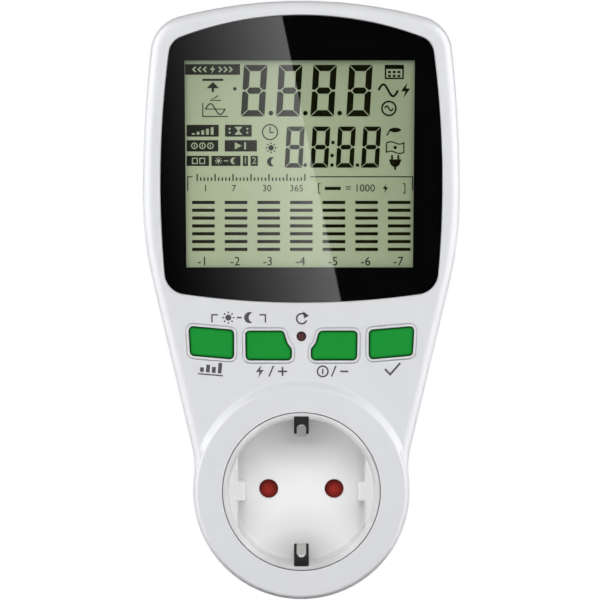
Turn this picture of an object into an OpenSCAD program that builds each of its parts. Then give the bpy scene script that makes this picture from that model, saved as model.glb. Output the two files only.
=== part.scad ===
// Plug-in energy meter: display, four keys and a reset pin over an earthed socket, with its plug behind.
// Sizes are millimetres. +Z is up, the front faces -Y.
// The origin is on the common axis of plug and socket, in the plane of the wall.

/* [Body] */
// Depth of the rear housing
rear_d = 18; // [17:0.5:20]
// Thickness of the side walls
wall = 2; // [1.6:0.1:2.4]
// Thickness of the front wall
front_wall = 2.8; // [2.6:0.1:3.6]
// Thickness of the rear wall
rear_wall = 2.5; // [2:0.1:4]
// How far each side wall leans in from the parting line to its edge
draft = 0.5; // [0.2:0.1:1]
// Rounding of the front edge of the head
front_edge_r = 2.9; // [1.5:0.1:3.4]
// Rounding of the rear edge
rear_edge_r = 3; // [1.5:0.1:4]
// Curve radius of the crown
crown_r = 138; // [110:1:200]
// Radius of the two upper corners
corner_r = 11; // [9:0.5:16]
// Curve radius of the sides above the widest place
side_r = 382; // [250:1:600]
// Curve radius of the shoulders below the widest place
shoulder_r = 110; // [90:1:150]
// Distance from the crown down to the widest place
waist_drop = 55.6; // [45:0.2:65]
// Radius of the hollow where the head meets the round foot
neck_r = 25; // [15:0.5:40]
// Height of the middle of that hollow's curve over the socket axis
neck_z = 6.7; // [3:0.1:10]
// Height of the lip that lines up the two housings
lip_h = 1.5; // [1:0.1:2.5]
// Thickness of that lip
lip_t = 1.05; // [0.8:0.05:1.4]
// Gap between the lip and the front housing
lip_gap = 0.15; // [0.1:0.05:0.3]

/* [Housing screws] */
// Shank radius of a housing screw
screw_r = 1.4; // [1.2:0.1:1.7]
// Head radius of a housing screw
screw_head_r = 2.7; // [2.3:0.1:3]
// Length of a housing screw under its head
screw_l = 18; // [14:0.5:22]
// Depth of the screw wells in the rear wall
well_d = 10; // [6:0.5:12]
// Distance of the upper screws from the middle
top_screw_x = 24; // [18:0.5:27]
// Distance of the upper screws below the crown
top_screw_drop = 8.6; // [8.2:0.1:9]
// Distance of the lower screws from the middle
neck_screw_x = 26.5; // [26:0.1:27]
// Height of the lower screws over the socket axis
neck_screw_z = 22; // [20:0.5:24]
// Gap between a screw and the pilot hole that it is driven into
thread_gap = 0.05; // [0.02:0.01:0.08]
// Gap between a screw and a hole that it passes through
pass_gap = 0.25; // [0.15:0.05:0.4]

/* [Lens] */
// Width of the lens at its widest
lens_w = 80.8; // [78:0.2:88]
// Height of the lens at its middle
lens_h = 82.35; // [80:0.05:90]
// Thickness of the lens
lens_t = 1.5; // [1:0.1:1.6]
// Thickness of the black film behind the lens
mask_t = 0.2; // [0.1:0.05:0.3]
// White border beside the lens
bezel_side = 5.1; // [4.5:0.1:8]
// White border above the lens
bezel_top = 4.25; // [4:0.05:8]
// Distance from the top of the lens down to its widest place
lens_waist_drop = 47.85; // [40:0.05:55]
// Curve radius of the top of the lens
lens_top_r = 98; // [80:1:140]
// Curve radius of the bottom of the lens
lens_bottom_r = 240; // [150:1:400]
// Curve radius of the sides of the lens
lens_side_r = 290; // [200:1:500]
// Upper corner radius of the lens
lens_top_corner = 5.4; // [3:0.1:9]
// Lower corner radius of the lens
lens_bottom_corner = 6.3; // [3:0.1:9]
// Gap round the lens in its recess
lens_gap = 0.15; // [0.1:0.05:0.3]

/* [Display] */
// Distance from the widest place of the lens in to the top corners of the visible display
view_side = 7.4; // [7:0.1:12]
// Distance from the foot of the lens up to the visible display
view_rise = 9.9; // [8.2:0.1:19]
// How much narrower the visible display is at its foot
view_taper = 1.1; // [0:0.1:3]
// Distance from the top of the lens down to the visible display
view_drop = 13.15; // [12.5:0.05:14]
// How far the window in the front wall clears the visible display
window_gap = 1; // [0.5:0.1:1.4]
// Border of the display glass round the visible display
glass_border = 3; // [2:0.1:3]
// Extra strip of glass at the foot for its contacts
contact_strip = 3; // [2.6:0.1:3.4]
// Thickness of the display glass
glass_t = 2.8; // [1.8:0.1:3]
// Thickness of the foam gasket
gasket_t = 0.3; // [0.2:0.05:0.6]
// Wall of the display frame beside the glass
frame_wall = 1.8; // [1.4:0.1:1.9]
// Gap between the display frame and the glass
glass_gap = 0.1; // [0.05:0.05:0.2]
// Width of the shelf of the display frame behind the glass
shelf_w = 1.5; // [1:0.1:2]
// Height of the rubber contact strip between glass and board
rubber_h = 4; // [4:0.1:5]
// Thickness of the rubber contact strip
rubber_t = 2.2; // [1.6:0.1:2.4]

/* [Boards] */
// Thickness of both circuit boards
board_t = 1.6; // [1:0.1:2]
// Gap between the display board and the side walls
board_gap = 0.6; // [0.4:0.1:1]
// Height of the lower edge of the display board over the socket axis
board_foot_z = 34; // [33:0.5:35]
// Distance of the upper edge of the display board below the crown
board_top_drop = 6; // [5.5:0.1:6.4]
// Distance of the upper board screw below the crown
board_screw_drop = 9.4; // [9.2:0.1:9.8]
// Distance of the lower board screws in from the widest place of the body
board_screw_side = 11.5; // [10.5:0.1:12.5]
// Distance of the lower board screws below the display frame
board_screw_gap = 3.2; // [2.8:0.1:3.6]
// Radius of the board screw posts
board_post_r = 2.2; // [2:0.1:2.5]
// Shank radius of a small screw
small_screw_r = 0.9; // [0.7:0.05:1]
// Head radius of a small screw
small_head_r = 2; // [1.7:0.1:2.2]
// Length of a small screw under its head
small_screw_l = 5; // [4:0.5:6]
// Width of the metering board
meter_w = 62; // [58:1:64]
// Height of the metering board
meter_h = 82; // [80:1:86]
// Height of the lower edge of the metering board over the socket axis
meter_foot_z = 36; // [34:0.5:37]
// Distance of the metering board in front of the parting line's rear side
meter_inset = 2; // [1:0.1:3]
// Distance of its screws from the edges of the metering board
meter_screw_edge = 5; // [4:0.1:6]
// Radius of the posts that carry the metering board
meter_post_r = 3; // [2.5:0.1:3.5]

/* [Keys] */
// Height of the inner keys over the socket axis
key_z = 41.7; // [41:0.1:44]
// Distance from the inner keys' middle up to the foot of the lens
key_to_lens = 12.3; // [12:0.1:16]
// Distance of the inner keys from the middle
inner_key_x = 9.4; // [9.2:0.1:9.7]
// Distance of the outer keys from the middle
outer_key_x = 25.8; // [25:0.1:26.5]
// How much higher the outer keys sit
outer_key_lift = 0.8; // [0:0.1:1.5]
// Width of an inner key
inner_key_w = 13; // [12:0.1:13.4]
// Width of an outer key
outer_key_w = 12.7; // [11:0.1:13]
// Height of a key
key_h = 8.15; // [7:0.05:8.6]
// How much lower one end of an outer key is than its middle
key_skew = 0.55; // [0:0.05:1]
// Corner radius of a key
key_corner = 1.1; // [0.6:0.1:1.6]
// Width of the hollow in an inner key beside the reset hole
hollow_w = 2.35; // [2:0.05:2.8]
// Height of that hollow
hollow_h = 5.1; // [4.5:0.1:5.6]
// Curve radius of that hollow
hollow_r = 3.6; // [2.5:0.1:4.2]
// How far the keys stand out of the front face
key_proud = 0.9; // [0.7:0.1:1.5]
// How far a key moves when pressed
key_travel = 0.5; // [0.2:0.1:0.6]
// Gap round a key in its opening
key_gap = 0.2; // [0.15:0.05:0.3]
// Width of the raised rim round a key opening
key_rim_w = 0.8; // [0.4:0.1:1]
// Height of that rim
key_rim_h = 0.25; // [0.1:0.05:0.5]
// How far the foot flange of a key reaches past it
key_flange = 0.8; // [0.5:0.1:1]
// Thickness of that flange
key_flange_t = 1; // [0.6:0.1:1.1]
// Width of a switch body
switch_w = 6; // [5:0.1:6.4]
// Height of a switch body
switch_h = 3.5; // [2.8:0.1:3.6]
// Radius of a switch plunger
plunger_r = 1.7; // [1.2:0.1:2]
// How far a switch plunger stands out of its body
plunger_out = 1.2; // [0.8:0.1:1.4]
// How deep a switch plunger sits in its body
plunger_in = 1.4; // [1:0.1:1.6]
// Gap round a switch plunger
plunger_gap = 0.1; // [0.05:0.01:0.15]
// Height of the reset hole over the inner keys' middle
reset_lift = 2.6; // [2.2:0.1:3]
// Radius of the reset hole
reset_hole_r = 1.4; // [1.3:0.05:1.6]
// Radius of the reset plunger
reset_r = 1.1; // [0.9:0.05:1.1]
// Depth of the reset plunger's tip under the front face
reset_depth = 1.4; // [1:0.1:2]

/* [Socket] */
// Radius of the round foot of the body
foot_r = 31.1; // [30.6:0.1:33]
// Radius of the raised disc on the foot
disc_r = 30.4; // [29.5:0.1:30.4]
// How far the raised disc stands out of the front face
disc_rise = 2; // [1:0.1:2.5]
// Rounding of the raised disc's edge
disc_edge_r = 1.6; // [1:0.1:2]
// Outer radius of the socket cup
cup_r = 22.5; // [22.3:0.1:22.9]
// Gap between the cup and the raised disc
cup_gap = 0.12; // [0.08:0.02:0.2]
// Inner radius of the socket cup
recess_r = 20.7; // [20:0.1:20.9]
// Depth of the socket recess
recess_d = 17.5; // [16:0.5:19]
// Bevel of the cup's mouth
mouth_bevel = 0.9; // [0.5:0.1:1.1]
// Thickness of the cup's floor
floor_t = 3; // [2:0.1:4]
// Distance between the flats at the sides of the recess
flat_gap = 36.4; // [35.8:0.1:37]
// Depth of the flats and ribs under the cup's mouth
flat_depth = 1.2; // [0.8:0.1:2]
// Height of the guide ribs
rib_h = 5.6; // [4.5:0.1:6]
// How far the guide ribs stand out of the flats
rib_out = 2.2; // [1.5:0.1:2.5]
// Distance between the two pin holes
pin_pitch = 19; // [18.8:0.1:19.2]
// Radius of the pin holes
pin_hole_r = 2.75; // [2.6:0.05:2.8]
// Width of the slots for the earth clips
slot_w = 4.3; // [4:0.1:4.8]
// Distance from the axis to the inner edge of a slot
slot_inner = 15.9; // [15.6:0.1:16.2]
// How far a slot cuts into the cup's wall
slot_bite = 0.8; // [0.4:0.1:1]
// Radius of the cup's fixing flange
flange_r = 27.6; // [27.4:0.1:28]
// Thickness of the cup's fixing flange
flange_t = 2.5; // [2:0.1:3]
// Distance of the cup's screws from the axis
cup_screw_at = 25.1; // [25:0.1:25.3]
// Thickness of the ring behind the cup's floor
skirt_t = 2; // [1.5:0.1:2.2]

/* [Shutter and contacts] */
// Thickness of the shutter
shutter_t = 2; // [1.4:0.1:2.5]
// Gap on each side of the shutter
shutter_gap = 0.15; // [0.1:0.05:0.3]
// Radius of the pads that close the pin holes
pad_r = 3.7; // [3.3:0.1:3.8]
// Width of the shutter's arms
arm_w = 5; // [4:0.1:6]
// Radius of the shutter's hub
hub_r = 3.4; // [2.6:0.1:4]
// Radius of the post that the shutter turns on
post_r = 1.5; // [1.2:0.1:1.6]
// Gap between the shutter and its post
post_gap = 0.05; // [0.02:0.01:0.08]
// Wire radius of the shutter spring
wire_r = 0.2; // [0.15:0.05:0.25]
// Radius of the middle of the spring's wire about its axis
coil_r = 2.4; // [2.3:0.1:2.6]
// Turns of the shutter spring
coil_turns = 3; // [2:1:3]
// Thickness of the contact carrier's plate
carrier_t = 3; // [2.6:0.1:4]
// Radius of the contact carrier's plate
carrier_r = 22; // [21.6:0.1:22.3]
// Wall of the sleeves round the contacts
sleeve_wall = 1.7; // [1.2:0.1:2]
// Radius of the clamping posts of the carrier
clamp_r = 2; // [1.5:0.1:2.2]
// Distance of the clamping posts from the axis, across and up
clamp_at = 13.5; // [13.3:0.1:13.7]
// Distance of the carrier screws from the axis
carrier_screw_at = 16; // [15.9:0.1:16.4]
// Bearing of the carrier screws, in degrees
carrier_screw_turn = 115; // [112:1:118]
// Outer radius of a contact tube
contact_r = 3.2; // [3.1:0.1:3.5]
// Wall of a contact tube
contact_wall = 0.7; // [0.5:0.05:0.7]
// Thickness of a contact tube's closed end
contact_end = 0.8; // [0.5:0.1:1.2]
// Gap between a contact and its sleeve
contact_gap = 0.05; // [0.03:0.01:0.1]
// Room for the current shunt between contact and pin
shunt_room = 2.6; // [2:0.1:3.5]
// Thickness of the current shunt
shunt_t = 0.6; // [0.4:0.1:0.8]
// Width of the current shunt
shunt_w = 5; // [4:0.1:6]
// How far the shunt's bend lies outside the contact's axis
shunt_out = 7.5; // [6.5:0.1:7.8]
// Thickness of the earth bracket
strip_t = 0.6; // [0.4:0.1:0.7]
// Width of an earth clip
clip_w = 2.9; // [2.4:0.1:3.4]
// Width of the rest of the earth bracket
strip_w = 6; // [5:0.1:6.2]
// Distance between the two earth clips where they grip
clip_gap = 30.9; // [30.5:0.1:31.2]
// Depth of an earth clip's tip under the cup's mouth
clip_tip_d = 4.5; // [3.5:0.1:6]
// Depth where an earth clip grips under the cup's mouth
clip_grip_d = 10.8; // [10:0.1:12]
// Distance of an earth clip's tip from the axis
clip_tip_at = 18.9; // [18:0.1:19.4]
// Distance of the bracket's long legs from the axis
leg_at = 17.1; // [16.9:0.1:17.2]
// Gap round the bracket where it passes through plastic
strip_gap = 0.1; // [0.05:0.05:0.2]

/* [Plug] */
// Radius of the plug body
plug_r = 18.3; // [18:0.1:18.5]
// Length of the plug body behind the wall plane
plug_l = 17.5; // [16:0.5:18]
// Bevel at the end of the plug body
plug_bevel = 1; // [0.5:0.1:1.1]
// Gap between the plug body and its hole in the rear wall
plug_gap = 0.1; // [0.05:0.05:0.2]
// Radius of the plug body's inner flange
plug_flange_r = 21.5; // [21:0.1:23]
// Thickness of that flange
plug_flange_t = 2; // [1.5:0.1:3]
// Width of the guide grooves at the plug's sides
groove_w = 6; // [5.8:0.1:7]
// Depth of the guide grooves
groove_d = 2.9; // [2.2:0.1:3]
// Distance of the plug side contacts' middle from the axis
side_contact_at = 18.05; // [17.8:0.05:18.1]
// Radius of a plug pin
pin_r = 2.4; // [2.35:0.05:2.4]
// Length of a plug pin past the plug body
pin_l = 19; // [18:0.5:19.5]
// Rounding of a pin's tip
pin_tip_r = 1.6; // [1:0.1:2]
// Radius of a pin's root inside the plug body
root_r = 2.7; // [2.6:0.1:3]
// Gap between a pin's root and the plug body
root_gap = 0.03; // [0.02:0.01:0.05]
// Radius of the riveted head of a pin
rivet_r = 3.4; // [3:0.1:3.6]
// Thickness of that head
rivet_t = 1.4; // [1:0.1:2]

/* [Components] */
// Size of the dropper capacitor across
dropper_w = 26; // [18:0.5:26]
// Size of the dropper capacitor up
dropper_h = 9; // [7:0.5:11]
// Size of the dropper capacitor off the board
dropper_d = 12; // [9:0.5:12.5]
// Radius of the smoothing capacitor
smoother_r = 5; // [4:0.5:5.5]
// Size of the smoothing capacitor off the board
smoother_d = 11; // [8:0.5:12.5]
// Radius of the varistor
varistor_r = 5; // [4:0.5:6]
// Thickness of the varistor
varistor_t = 4; // [3:0.5:5]
// Radius of the backup battery
battery_r = 5.75; // [5:0.05:6]
// Length of the backup battery
battery_l = 17.5; // [14:0.5:18]
// Width of the metering chip
chip_w = 10; // [8:0.5:10]
// Height of the metering chip
chip_h = 7.5; // [6:0.5:9]
// Thickness of the metering chip
chip_t = 2; // [1.5:0.1:2.5]
// Distance of the metering chip's side from the middle
chip_x = 4; // [2:0.5:6]
// Distance of the dropper capacitor's side from the middle
dropper_x = 1; // [0:0.5:3]
// Distance of the smoothing capacitor from the middle
smoother_x = 16; // [14:0.5:18]
// Distance of the varistor's side from the middle
varistor_x = 20; // [18:0.5:22]
// Distance of the backup battery's end from the middle
battery_x = 5; // [3:0.5:7]
// Distance of the dropper and smoothing capacitors over the middle of the metering board
upper_row = 6; // [4:0.5:8]
// Distance of the battery, chip and varistor under the middle of the metering board
lower_row = 15.5; // [14:0.5:18]
// Radius of the epoxy drop on the display board
drop_r = 5; // [4:0.5:6]
// Height of the epoxy drop
drop_h = 1.4; // [1:0.1:1.8]
// Distance of the epoxy drop over the foot of the visible display
drop_lift = 16; // [12:0.5:20]
// Width of the ribbon cable
ribbon_w = 14; // [10:1:16]
// Distance of the ribbon cable's front end over the middle of the metering board
ribbon_lift = 19; // [17:0.5:21]
// How much higher the rear end of the ribbon cable is
ribbon_rise = 8; // [6:0.5:10]
// Thickness of the ribbon cable
ribbon_t = 0.9; // [0.6:0.1:1.1]
// Radius of the leads to the metering board
lead_r = 0.9; // [0.6:0.1:1]

/* [Hidden] */
$fn = 96;

// Depth, from the wall plane forward
pin_room = 0.2;
body_d = recess_d + pin_l + pin_room + contact_end + shunt_room + rivet_t + plug_flange_t + rear_wall - disc_rise;
y_face = -body_d;
y_disc = y_face - disc_rise;
y_part = -rear_d;
y_rear = -rear_wall;
y_seat = y_face + lens_t + mask_t;
y_ledge = y_face + front_wall;
y_glass = y_ledge + gasket_t;
y_glass_back = y_glass + glass_t;
y_board = y_glass_back + rubber_h;
y_board_back = y_board + board_t;
y_switch = y_board - switch_h;
y_plunger = y_switch - plunger_out;
y_plunger_end = y_switch + plunger_in;
y_flange = y_ledge + key_flange_t;
y_floor = y_disc + recess_d;
y_floor_back = y_floor + floor_t;
y_shutter = y_floor_back + shutter_gap;
y_carrier = y_shutter + shutter_t + shutter_gap;
y_carrier_back = y_carrier + carrier_t;
y_contact = y_carrier + 0.8;
y_contact_end = y_floor + pin_l + pin_room + contact_end;
y_sleeve_end = y_contact_end - 2.5;
y_plug = y_rear - plug_flange_t;
y_rivet = y_plug - rivet_t;
y_meter = y_part + meter_inset;
y_meter_back = y_meter + board_t;

// Heights, from the socket axis up
lens_foot_z = key_z + key_to_lens;
lens_top_z = lens_foot_z + lens_h;
head_h = lens_top_z + bezel_top;
body_w = lens_w + 2 * bezel_side;
waist_z = head_h - waist_drop;
view_top_z = lens_top_z - view_drop;
view_foot_z = lens_foot_z + view_rise;
view_w = lens_w - 2 * view_side;
glass_w = view_w + 2 * glass_border;
glass_top_z = view_top_z + glass_border;
glass_foot_z = view_foot_z - glass_border - contact_strip;
frame_foot_z = glass_foot_z - glass_gap - frame_wall;
frame_top_z = glass_top_z + glass_gap + frame_wall;
reset_z = key_z + reset_lift;
hole_x = pin_pitch / 2;
web_t = 2;
boss_r = screw_r + thread_gap + 1.75;
well_r = screw_head_r + 0.3;
tower_r = well_r + 1.2;
housing_screws_at = [for (side = [-1, 1], top = [0, 1])
    top == 1 ? [side * top_screw_x, head_h - top_screw_drop] : [side * neck_screw_x, neck_screw_z]];
board_screw_x = body_w / 2 - board_screw_side;
board_screws_at = [
    [0, head_h - board_screw_drop],
    [-board_screw_x, frame_foot_z - board_screw_gap],
    [board_screw_x, frame_foot_z - board_screw_gap]];
meter_screw_x = meter_w / 2 - meter_screw_edge;
meter_screws_at = [for (side = [-1, 1], top = [0, 1])
    [side * meter_screw_x, meter_foot_z + (top == 1 ? meter_h - meter_screw_edge : meter_screw_edge)]];
cup_screws_at = [for (turn = [45, 225]) cup_screw_at * [cos(turn), sin(turn)]];
carrier_screws_at = [for (turn = [0, 180])
    carrier_screw_at * [cos(carrier_screw_turn + turn), sin(carrier_screw_turn + turn)]];
shank_hole_r = small_screw_r + pass_gap;
pilot_r = small_screw_r + thread_gap;
small_head_h = 1.4;
meter_mid_z = meter_foot_z + meter_h / 2;

// Outlines, as points across and up
function heading(a) = [cos(a), sin(a)];
function bearing(p) = atan2(p[1], p[0]);
function arc(c, r, a0, a1, n) = [for (i = [0:n]) c + r * heading(a0 + (a1 - a0) * i / n)];
function short_arc(c, r, a0, a1, n) = [for (i = [0:n - 1]) c + r * heading(a0 + (a1 - a0) * i / n)];
function unit(v) = v / norm(v);
function both_sides(half) = concat(half, [for (i = [len(half) - 2:-1:1]) [-half[i][0], half[i][1]]]);

// Where two circles cross, to the left of the way from the first centre to the second
function crossing(c1, r1, c2, r2) =
    let (way = c2 - c1, d = norm(way), u = way / d)
    let (along = (r1 * r1 - r2 * r2 + d * d) / (2 * d))
    let (across = sqrt(r1 * r1 - along * along))
    c1 + along * u + across * [-u[1], u[0]];

// Outline of the body, moved in by a distance
function body_outline(inset) =
    let (crown = [0, head_h - crown_r])
    let (side = [body_w / 2 - side_r, waist_z])
    let (shoulder = [body_w / 2 - shoulder_r, waist_z])
    let (corner = crossing(side, side_r - corner_r, crown, crown_r - corner_r))
    let (neck = [sqrt(pow(foot_r + neck_r, 2) - neck_z * neck_z), neck_z])
    let (way = neck - shoulder, lean = bearing(way) + acos((shoulder_r + neck_r) / norm(way)))
    let (a_neck = bearing(neck), a_side = bearing(corner - side), a_crown = bearing(corner - crown))
    both_sides(concat(
        short_arc([0, 0], foot_r - inset, -90, a_neck, 20),
        arc(neck, neck_r + inset, 180 + a_neck, 180 + lean, 5),
        short_arc(shoulder, shoulder_r - inset, lean, 0, 6),
        short_arc(side, side_r - inset, 0, a_side, 6),
        short_arc(corner, corner_r - inset, a_side, a_crown, 8),
        arc(crown, crown_r - inset, a_crown, 90, 8)));

// Outline of the lens, moved in by a distance
function lens_outline(inset) =
    let (top = [0, lens_top_z - lens_top_r])
    let (foot = [0, lens_foot_z + lens_bottom_r])
    let (side = [lens_w / 2 - lens_side_r, lens_top_z - lens_waist_drop])
    let (upper = crossing(side, lens_side_r - lens_top_corner, top, lens_top_r - lens_top_corner))
    let (lower = crossing(foot, lens_bottom_r - lens_bottom_corner, side, lens_side_r - lens_bottom_corner))
    let (a_foot = bearing(lower - foot), a_low = bearing(lower - side))
    let (a_high = bearing(upper - side), a_top = bearing(upper - top))
    both_sides(concat(
        short_arc(foot, lens_bottom_r - inset, -90, a_foot, 6),
        short_arc(lower, lens_bottom_corner - inset, a_foot, a_low, 8),
        short_arc(side, lens_side_r - inset, a_low, a_high, 10),
        short_arc(upper, lens_top_corner - inset, a_high, a_top, 8),
        arc(top, lens_top_r - inset, a_top, 90, 8)));

// Corners moved out by a distance, for points that run anticlockwise
function edge_out(p, q) = unit([q[1] - p[1], p[0] - q[0]]);
function grown(pts, g) =
    let (n = len(pts))
    [for (i = [0:n - 1])
        let (before = edge_out(pts[(i + n - 1) % n], pts[i]), after = edge_out(pts[i], pts[(i + 1) % n]))
        pts[i] + g * (before + after) / (1 + before * after)];

// Corners rounded, each by its own radius
function signed_turn(a) = a > 180 ? a - 360 : a < -180 ? a + 360 : a;
function rounded(pts, radii, n) =
    let (count = len(pts))
    [for (i = [0:count - 1])
        let (u = unit(pts[(i + count - 1) % count] - pts[i]), v = unit(pts[(i + 1) % count] - pts[i]))
        let (half = acos(u * v) / 2, r = radii[i])
        let (c = pts[i] + unit(u + v) * r / sin(half))
        let (a0 = bearing(pts[i] + u * r / tan(half) - c), a1 = bearing(pts[i] + v * r / tan(half) - c))
        each arc(c, r, a0, a0 + signed_turn(a1 - a0), n)];

// Key plans about their own middle, for the left side, anticlockwise
key_half_h = key_h / 2;
outer_half = outer_key_w / 2;
inner_half = inner_key_w / 2;
outer_key = [
    [-outer_half, key_half_h + key_skew], [-outer_half + 0.45, -key_half_h + key_skew],
    [outer_half, -key_half_h - key_skew], [outer_half, key_half_h - key_skew]];
inner_key = [
    [-inner_half, key_half_h], [-inner_half + 0.15, -key_half_h], [inner_half, -key_half_h],
    [inner_half, key_half_h - hollow_h], [inner_half - hollow_w + 1.1, key_half_h - hollow_h + 1.6],
    [inner_half - hollow_w, key_half_h]];
function outer_plan(g) = rounded(grown(outer_key, g), [for (i = [0:3]) key_corner + g], 5);
function inner_plan(g) = rounded(grown(inner_key, g), [for (i = [0:5]) i == 4 ? hollow_r - g : key_corner + g], 5);

// Solids laid along the depth
module slab(y0, y1) {
    translate([0, y1, 0]) rotate([90, 0, 0]) linear_extrude(height = y1 - y0) children();
}
module rod(at, r, y0, y1) {
    translate([at[0], y1, at[1]]) rotate([90, 0, 0]) cylinder(r = r, h = y1 - y0);
}
module box(x0, x1, y0, y1, z0, z1) {
    translate([x0, y0, z0]) cube([x1 - x0, y1 - y0, z1 - z0]);
}
module turned(points) {
    rotate([-90, 0, 0]) rotate_extrude() polygon(points);
}

// Skin through outlines of equal length, each at its own depth, front first
module loft(outlines, depths) {
    n = len(outlines[0]);
    last = len(depths) - 1;
    points = [for (k = [0:last]) each [for (p = outlines[k]) [p[0], depths[k], p[1]]]];
    sides = [for (k = [0:last - 1], j = [0:n - 1])
        each let (a = k * n + j, b = k * n + (j + 1) % n) [[a, b, b + n], [a, b + n, a + n]]];
    front = [for (j = [n - 1:-1:0]) j];
    back = [for (j = [0:n - 1]) last * n + j];
    polyhedron(points = points, faces = concat(sides, [front, back]));
}

// Sheet bent along a path
function path_out(path, i) =
    i == 0 ? edge_out(path[0], path[1]) :
    i == len(path) - 1 ? edge_out(path[i - 1], path[i]) :
    let (a = edge_out(path[i - 1], path[i]), b = edge_out(path[i], path[i + 1])) (a + b) / (1 + a * b);
function bent_sheet(path, t) = concat(
    [for (i = [0:len(path) - 1]) path[i] + path_out(path, i) * t / 2],
    [for (i = [len(path) - 1:-1:0]) path[i] - path_out(path, i) * t / 2]);

// Sheet whose path runs up and back, with its width across
module sheet_across(path, t, w) {
    rotate([0, -90, 0]) linear_extrude(height = w, center = true) polygon(bent_sheet(path, t));
}

// Round wire along points, with rings square to it about a reference direction
function way_at(path, i) = unit(path[min(i + 1, len(path) - 1)] - path[max(i - 1, 0)]);
module wire(path, r, reference, sides) {
    last = len(path) - 1;
    points = [for (i = [0:last])
        let (along = way_at(path, i), out = unit(cross(along, reference)), up = cross(out, along))
        each [for (k = [0:sides - 1]) path[i] + r * (cos(360 * k / sides) * out + sin(360 * k / sides) * up)]];
    skin = [for (i = [0:last - 1], k = [0:sides - 1])
        each let (a = i * sides + k, b = i * sides + (k + 1) % sides) [[a, b, b + sides], [a, b + sides, a + sides]]];
    first = [for (k = [sides - 1:-1:0]) k];
    end = [for (k = [0:sides - 1]) last * sides + k];
    polyhedron(points = points, faces = concat(skin, [first, end]));
}

// Screw driven forward, with a cross in its head
module screw(at, y_head, head_r, head_h, shank_r, shank_l) {
    slot = head_r * 0.3;
    translate([at[0], y_head, at[1]]) difference() {
        turned([[0, -shank_l], [shank_r, -shank_l], [shank_r, 0], [head_r, 0],
            [head_r, head_h * 0.6], [head_r * 0.7, head_h], [0, head_h]]);
        box(-head_r * 0.6, head_r * 0.6, head_h * 0.4, head_h + 1, -slot / 2, slot / 2);
        box(-slot / 2, slot / 2, head_h * 0.4, head_h + 1, -head_r * 0.6, head_r * 0.6);
    }
}

// Plans of the display
module view_plan(g) {
    half_top = view_w / 2 + g;
    half_foot = half_top - view_taper / 2;
    polygon([[half_foot, view_foot_z - g], [half_top, view_top_z + g],
        [-half_top, view_top_z + g], [-half_foot, view_foot_z - g]]);
}
module glass_plan(g) {
    translate([-glass_w / 2 - g, glass_foot_z - g])
        square([glass_w + 2 * g, glass_top_z - glass_foot_z + 2 * g]);
}
module key_plan(place, g) {
    side = place < 2 ? 0 : 1;
    outer = place == 0 || place == 3;
    mirror([side, 0, 0])
        translate([outer ? -outer_key_x : -inner_key_x, key_z + (outer ? outer_key_lift : 0)])
            polygon(outer ? outer_plan(g) : inner_plan(g));
}
function key_at(place) = [
    [-outer_key_x, key_z + outer_key_lift], [-inner_key_x, key_z],
    [inner_key_x, key_z], [outer_key_x, key_z + outer_key_lift]][place];

// Housing
module front_housing() {
    steps = [90, 72, 54, 36, 18, 0];
    insets = concat([for (t = steps) front_edge_r * (1 - cos(t))], [-draft]);
    depths = concat([for (t = steps) y_face + front_edge_r * (1 - sin(t))], [y_part]);
    y_disc_root = y_ledge - 0.6;
    color("white") difference() {
        union() {
            difference() {
                union() {
                    loft([for (d = insets) body_outline(d)], depths);
                    turned(concat([[0, y_disc_root], [disc_r, y_disc_root]],
                        arc([disc_r - disc_edge_r, y_disc + disc_edge_r], disc_edge_r, 0, -90, 8),
                        [[0, y_disc]]));
                    for (k = [0:3]) slab(y_face - key_rim_h, y_face + 0.5) key_plan(k, key_gap + key_rim_w);
                }
                slab(y_ledge, y_part + 1) polygon(body_outline(wall));
            }
            for (at = housing_screws_at) rod(at, boss_r, y_ledge - 0.5, y_part);
            for (at = board_screws_at) rod(at, board_post_r, y_ledge - 0.5, y_board);
        }
        slab(y_face - 1, y_seat) polygon(lens_outline(-lens_gap));
        slab(y_face - 1, y_ledge + 0.5) view_plan(window_gap);
        for (k = [0:3]) slab(y_face - 2, y_ledge + 0.5) key_plan(k, key_gap);
        rod([0, reset_z], reset_hole_r, y_face - 2, y_ledge + 0.5);
        rod([0, 0], cup_r + cup_gap, y_disc - 1, y_ledge + 0.5);
        for (at = housing_screws_at)
            rod(at, screw_r + thread_gap, -well_d - screw_l - 1, y_part + 1);
        for (at = board_screws_at)
            rod(at, pilot_r, y_board_back - small_screw_l - 0.5, y_board + 1);
        for (at = cup_screws_at)
            rod(at, pilot_r, y_ledge + flange_t - small_screw_l - 0.5, y_ledge + 1);
    }
}

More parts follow.
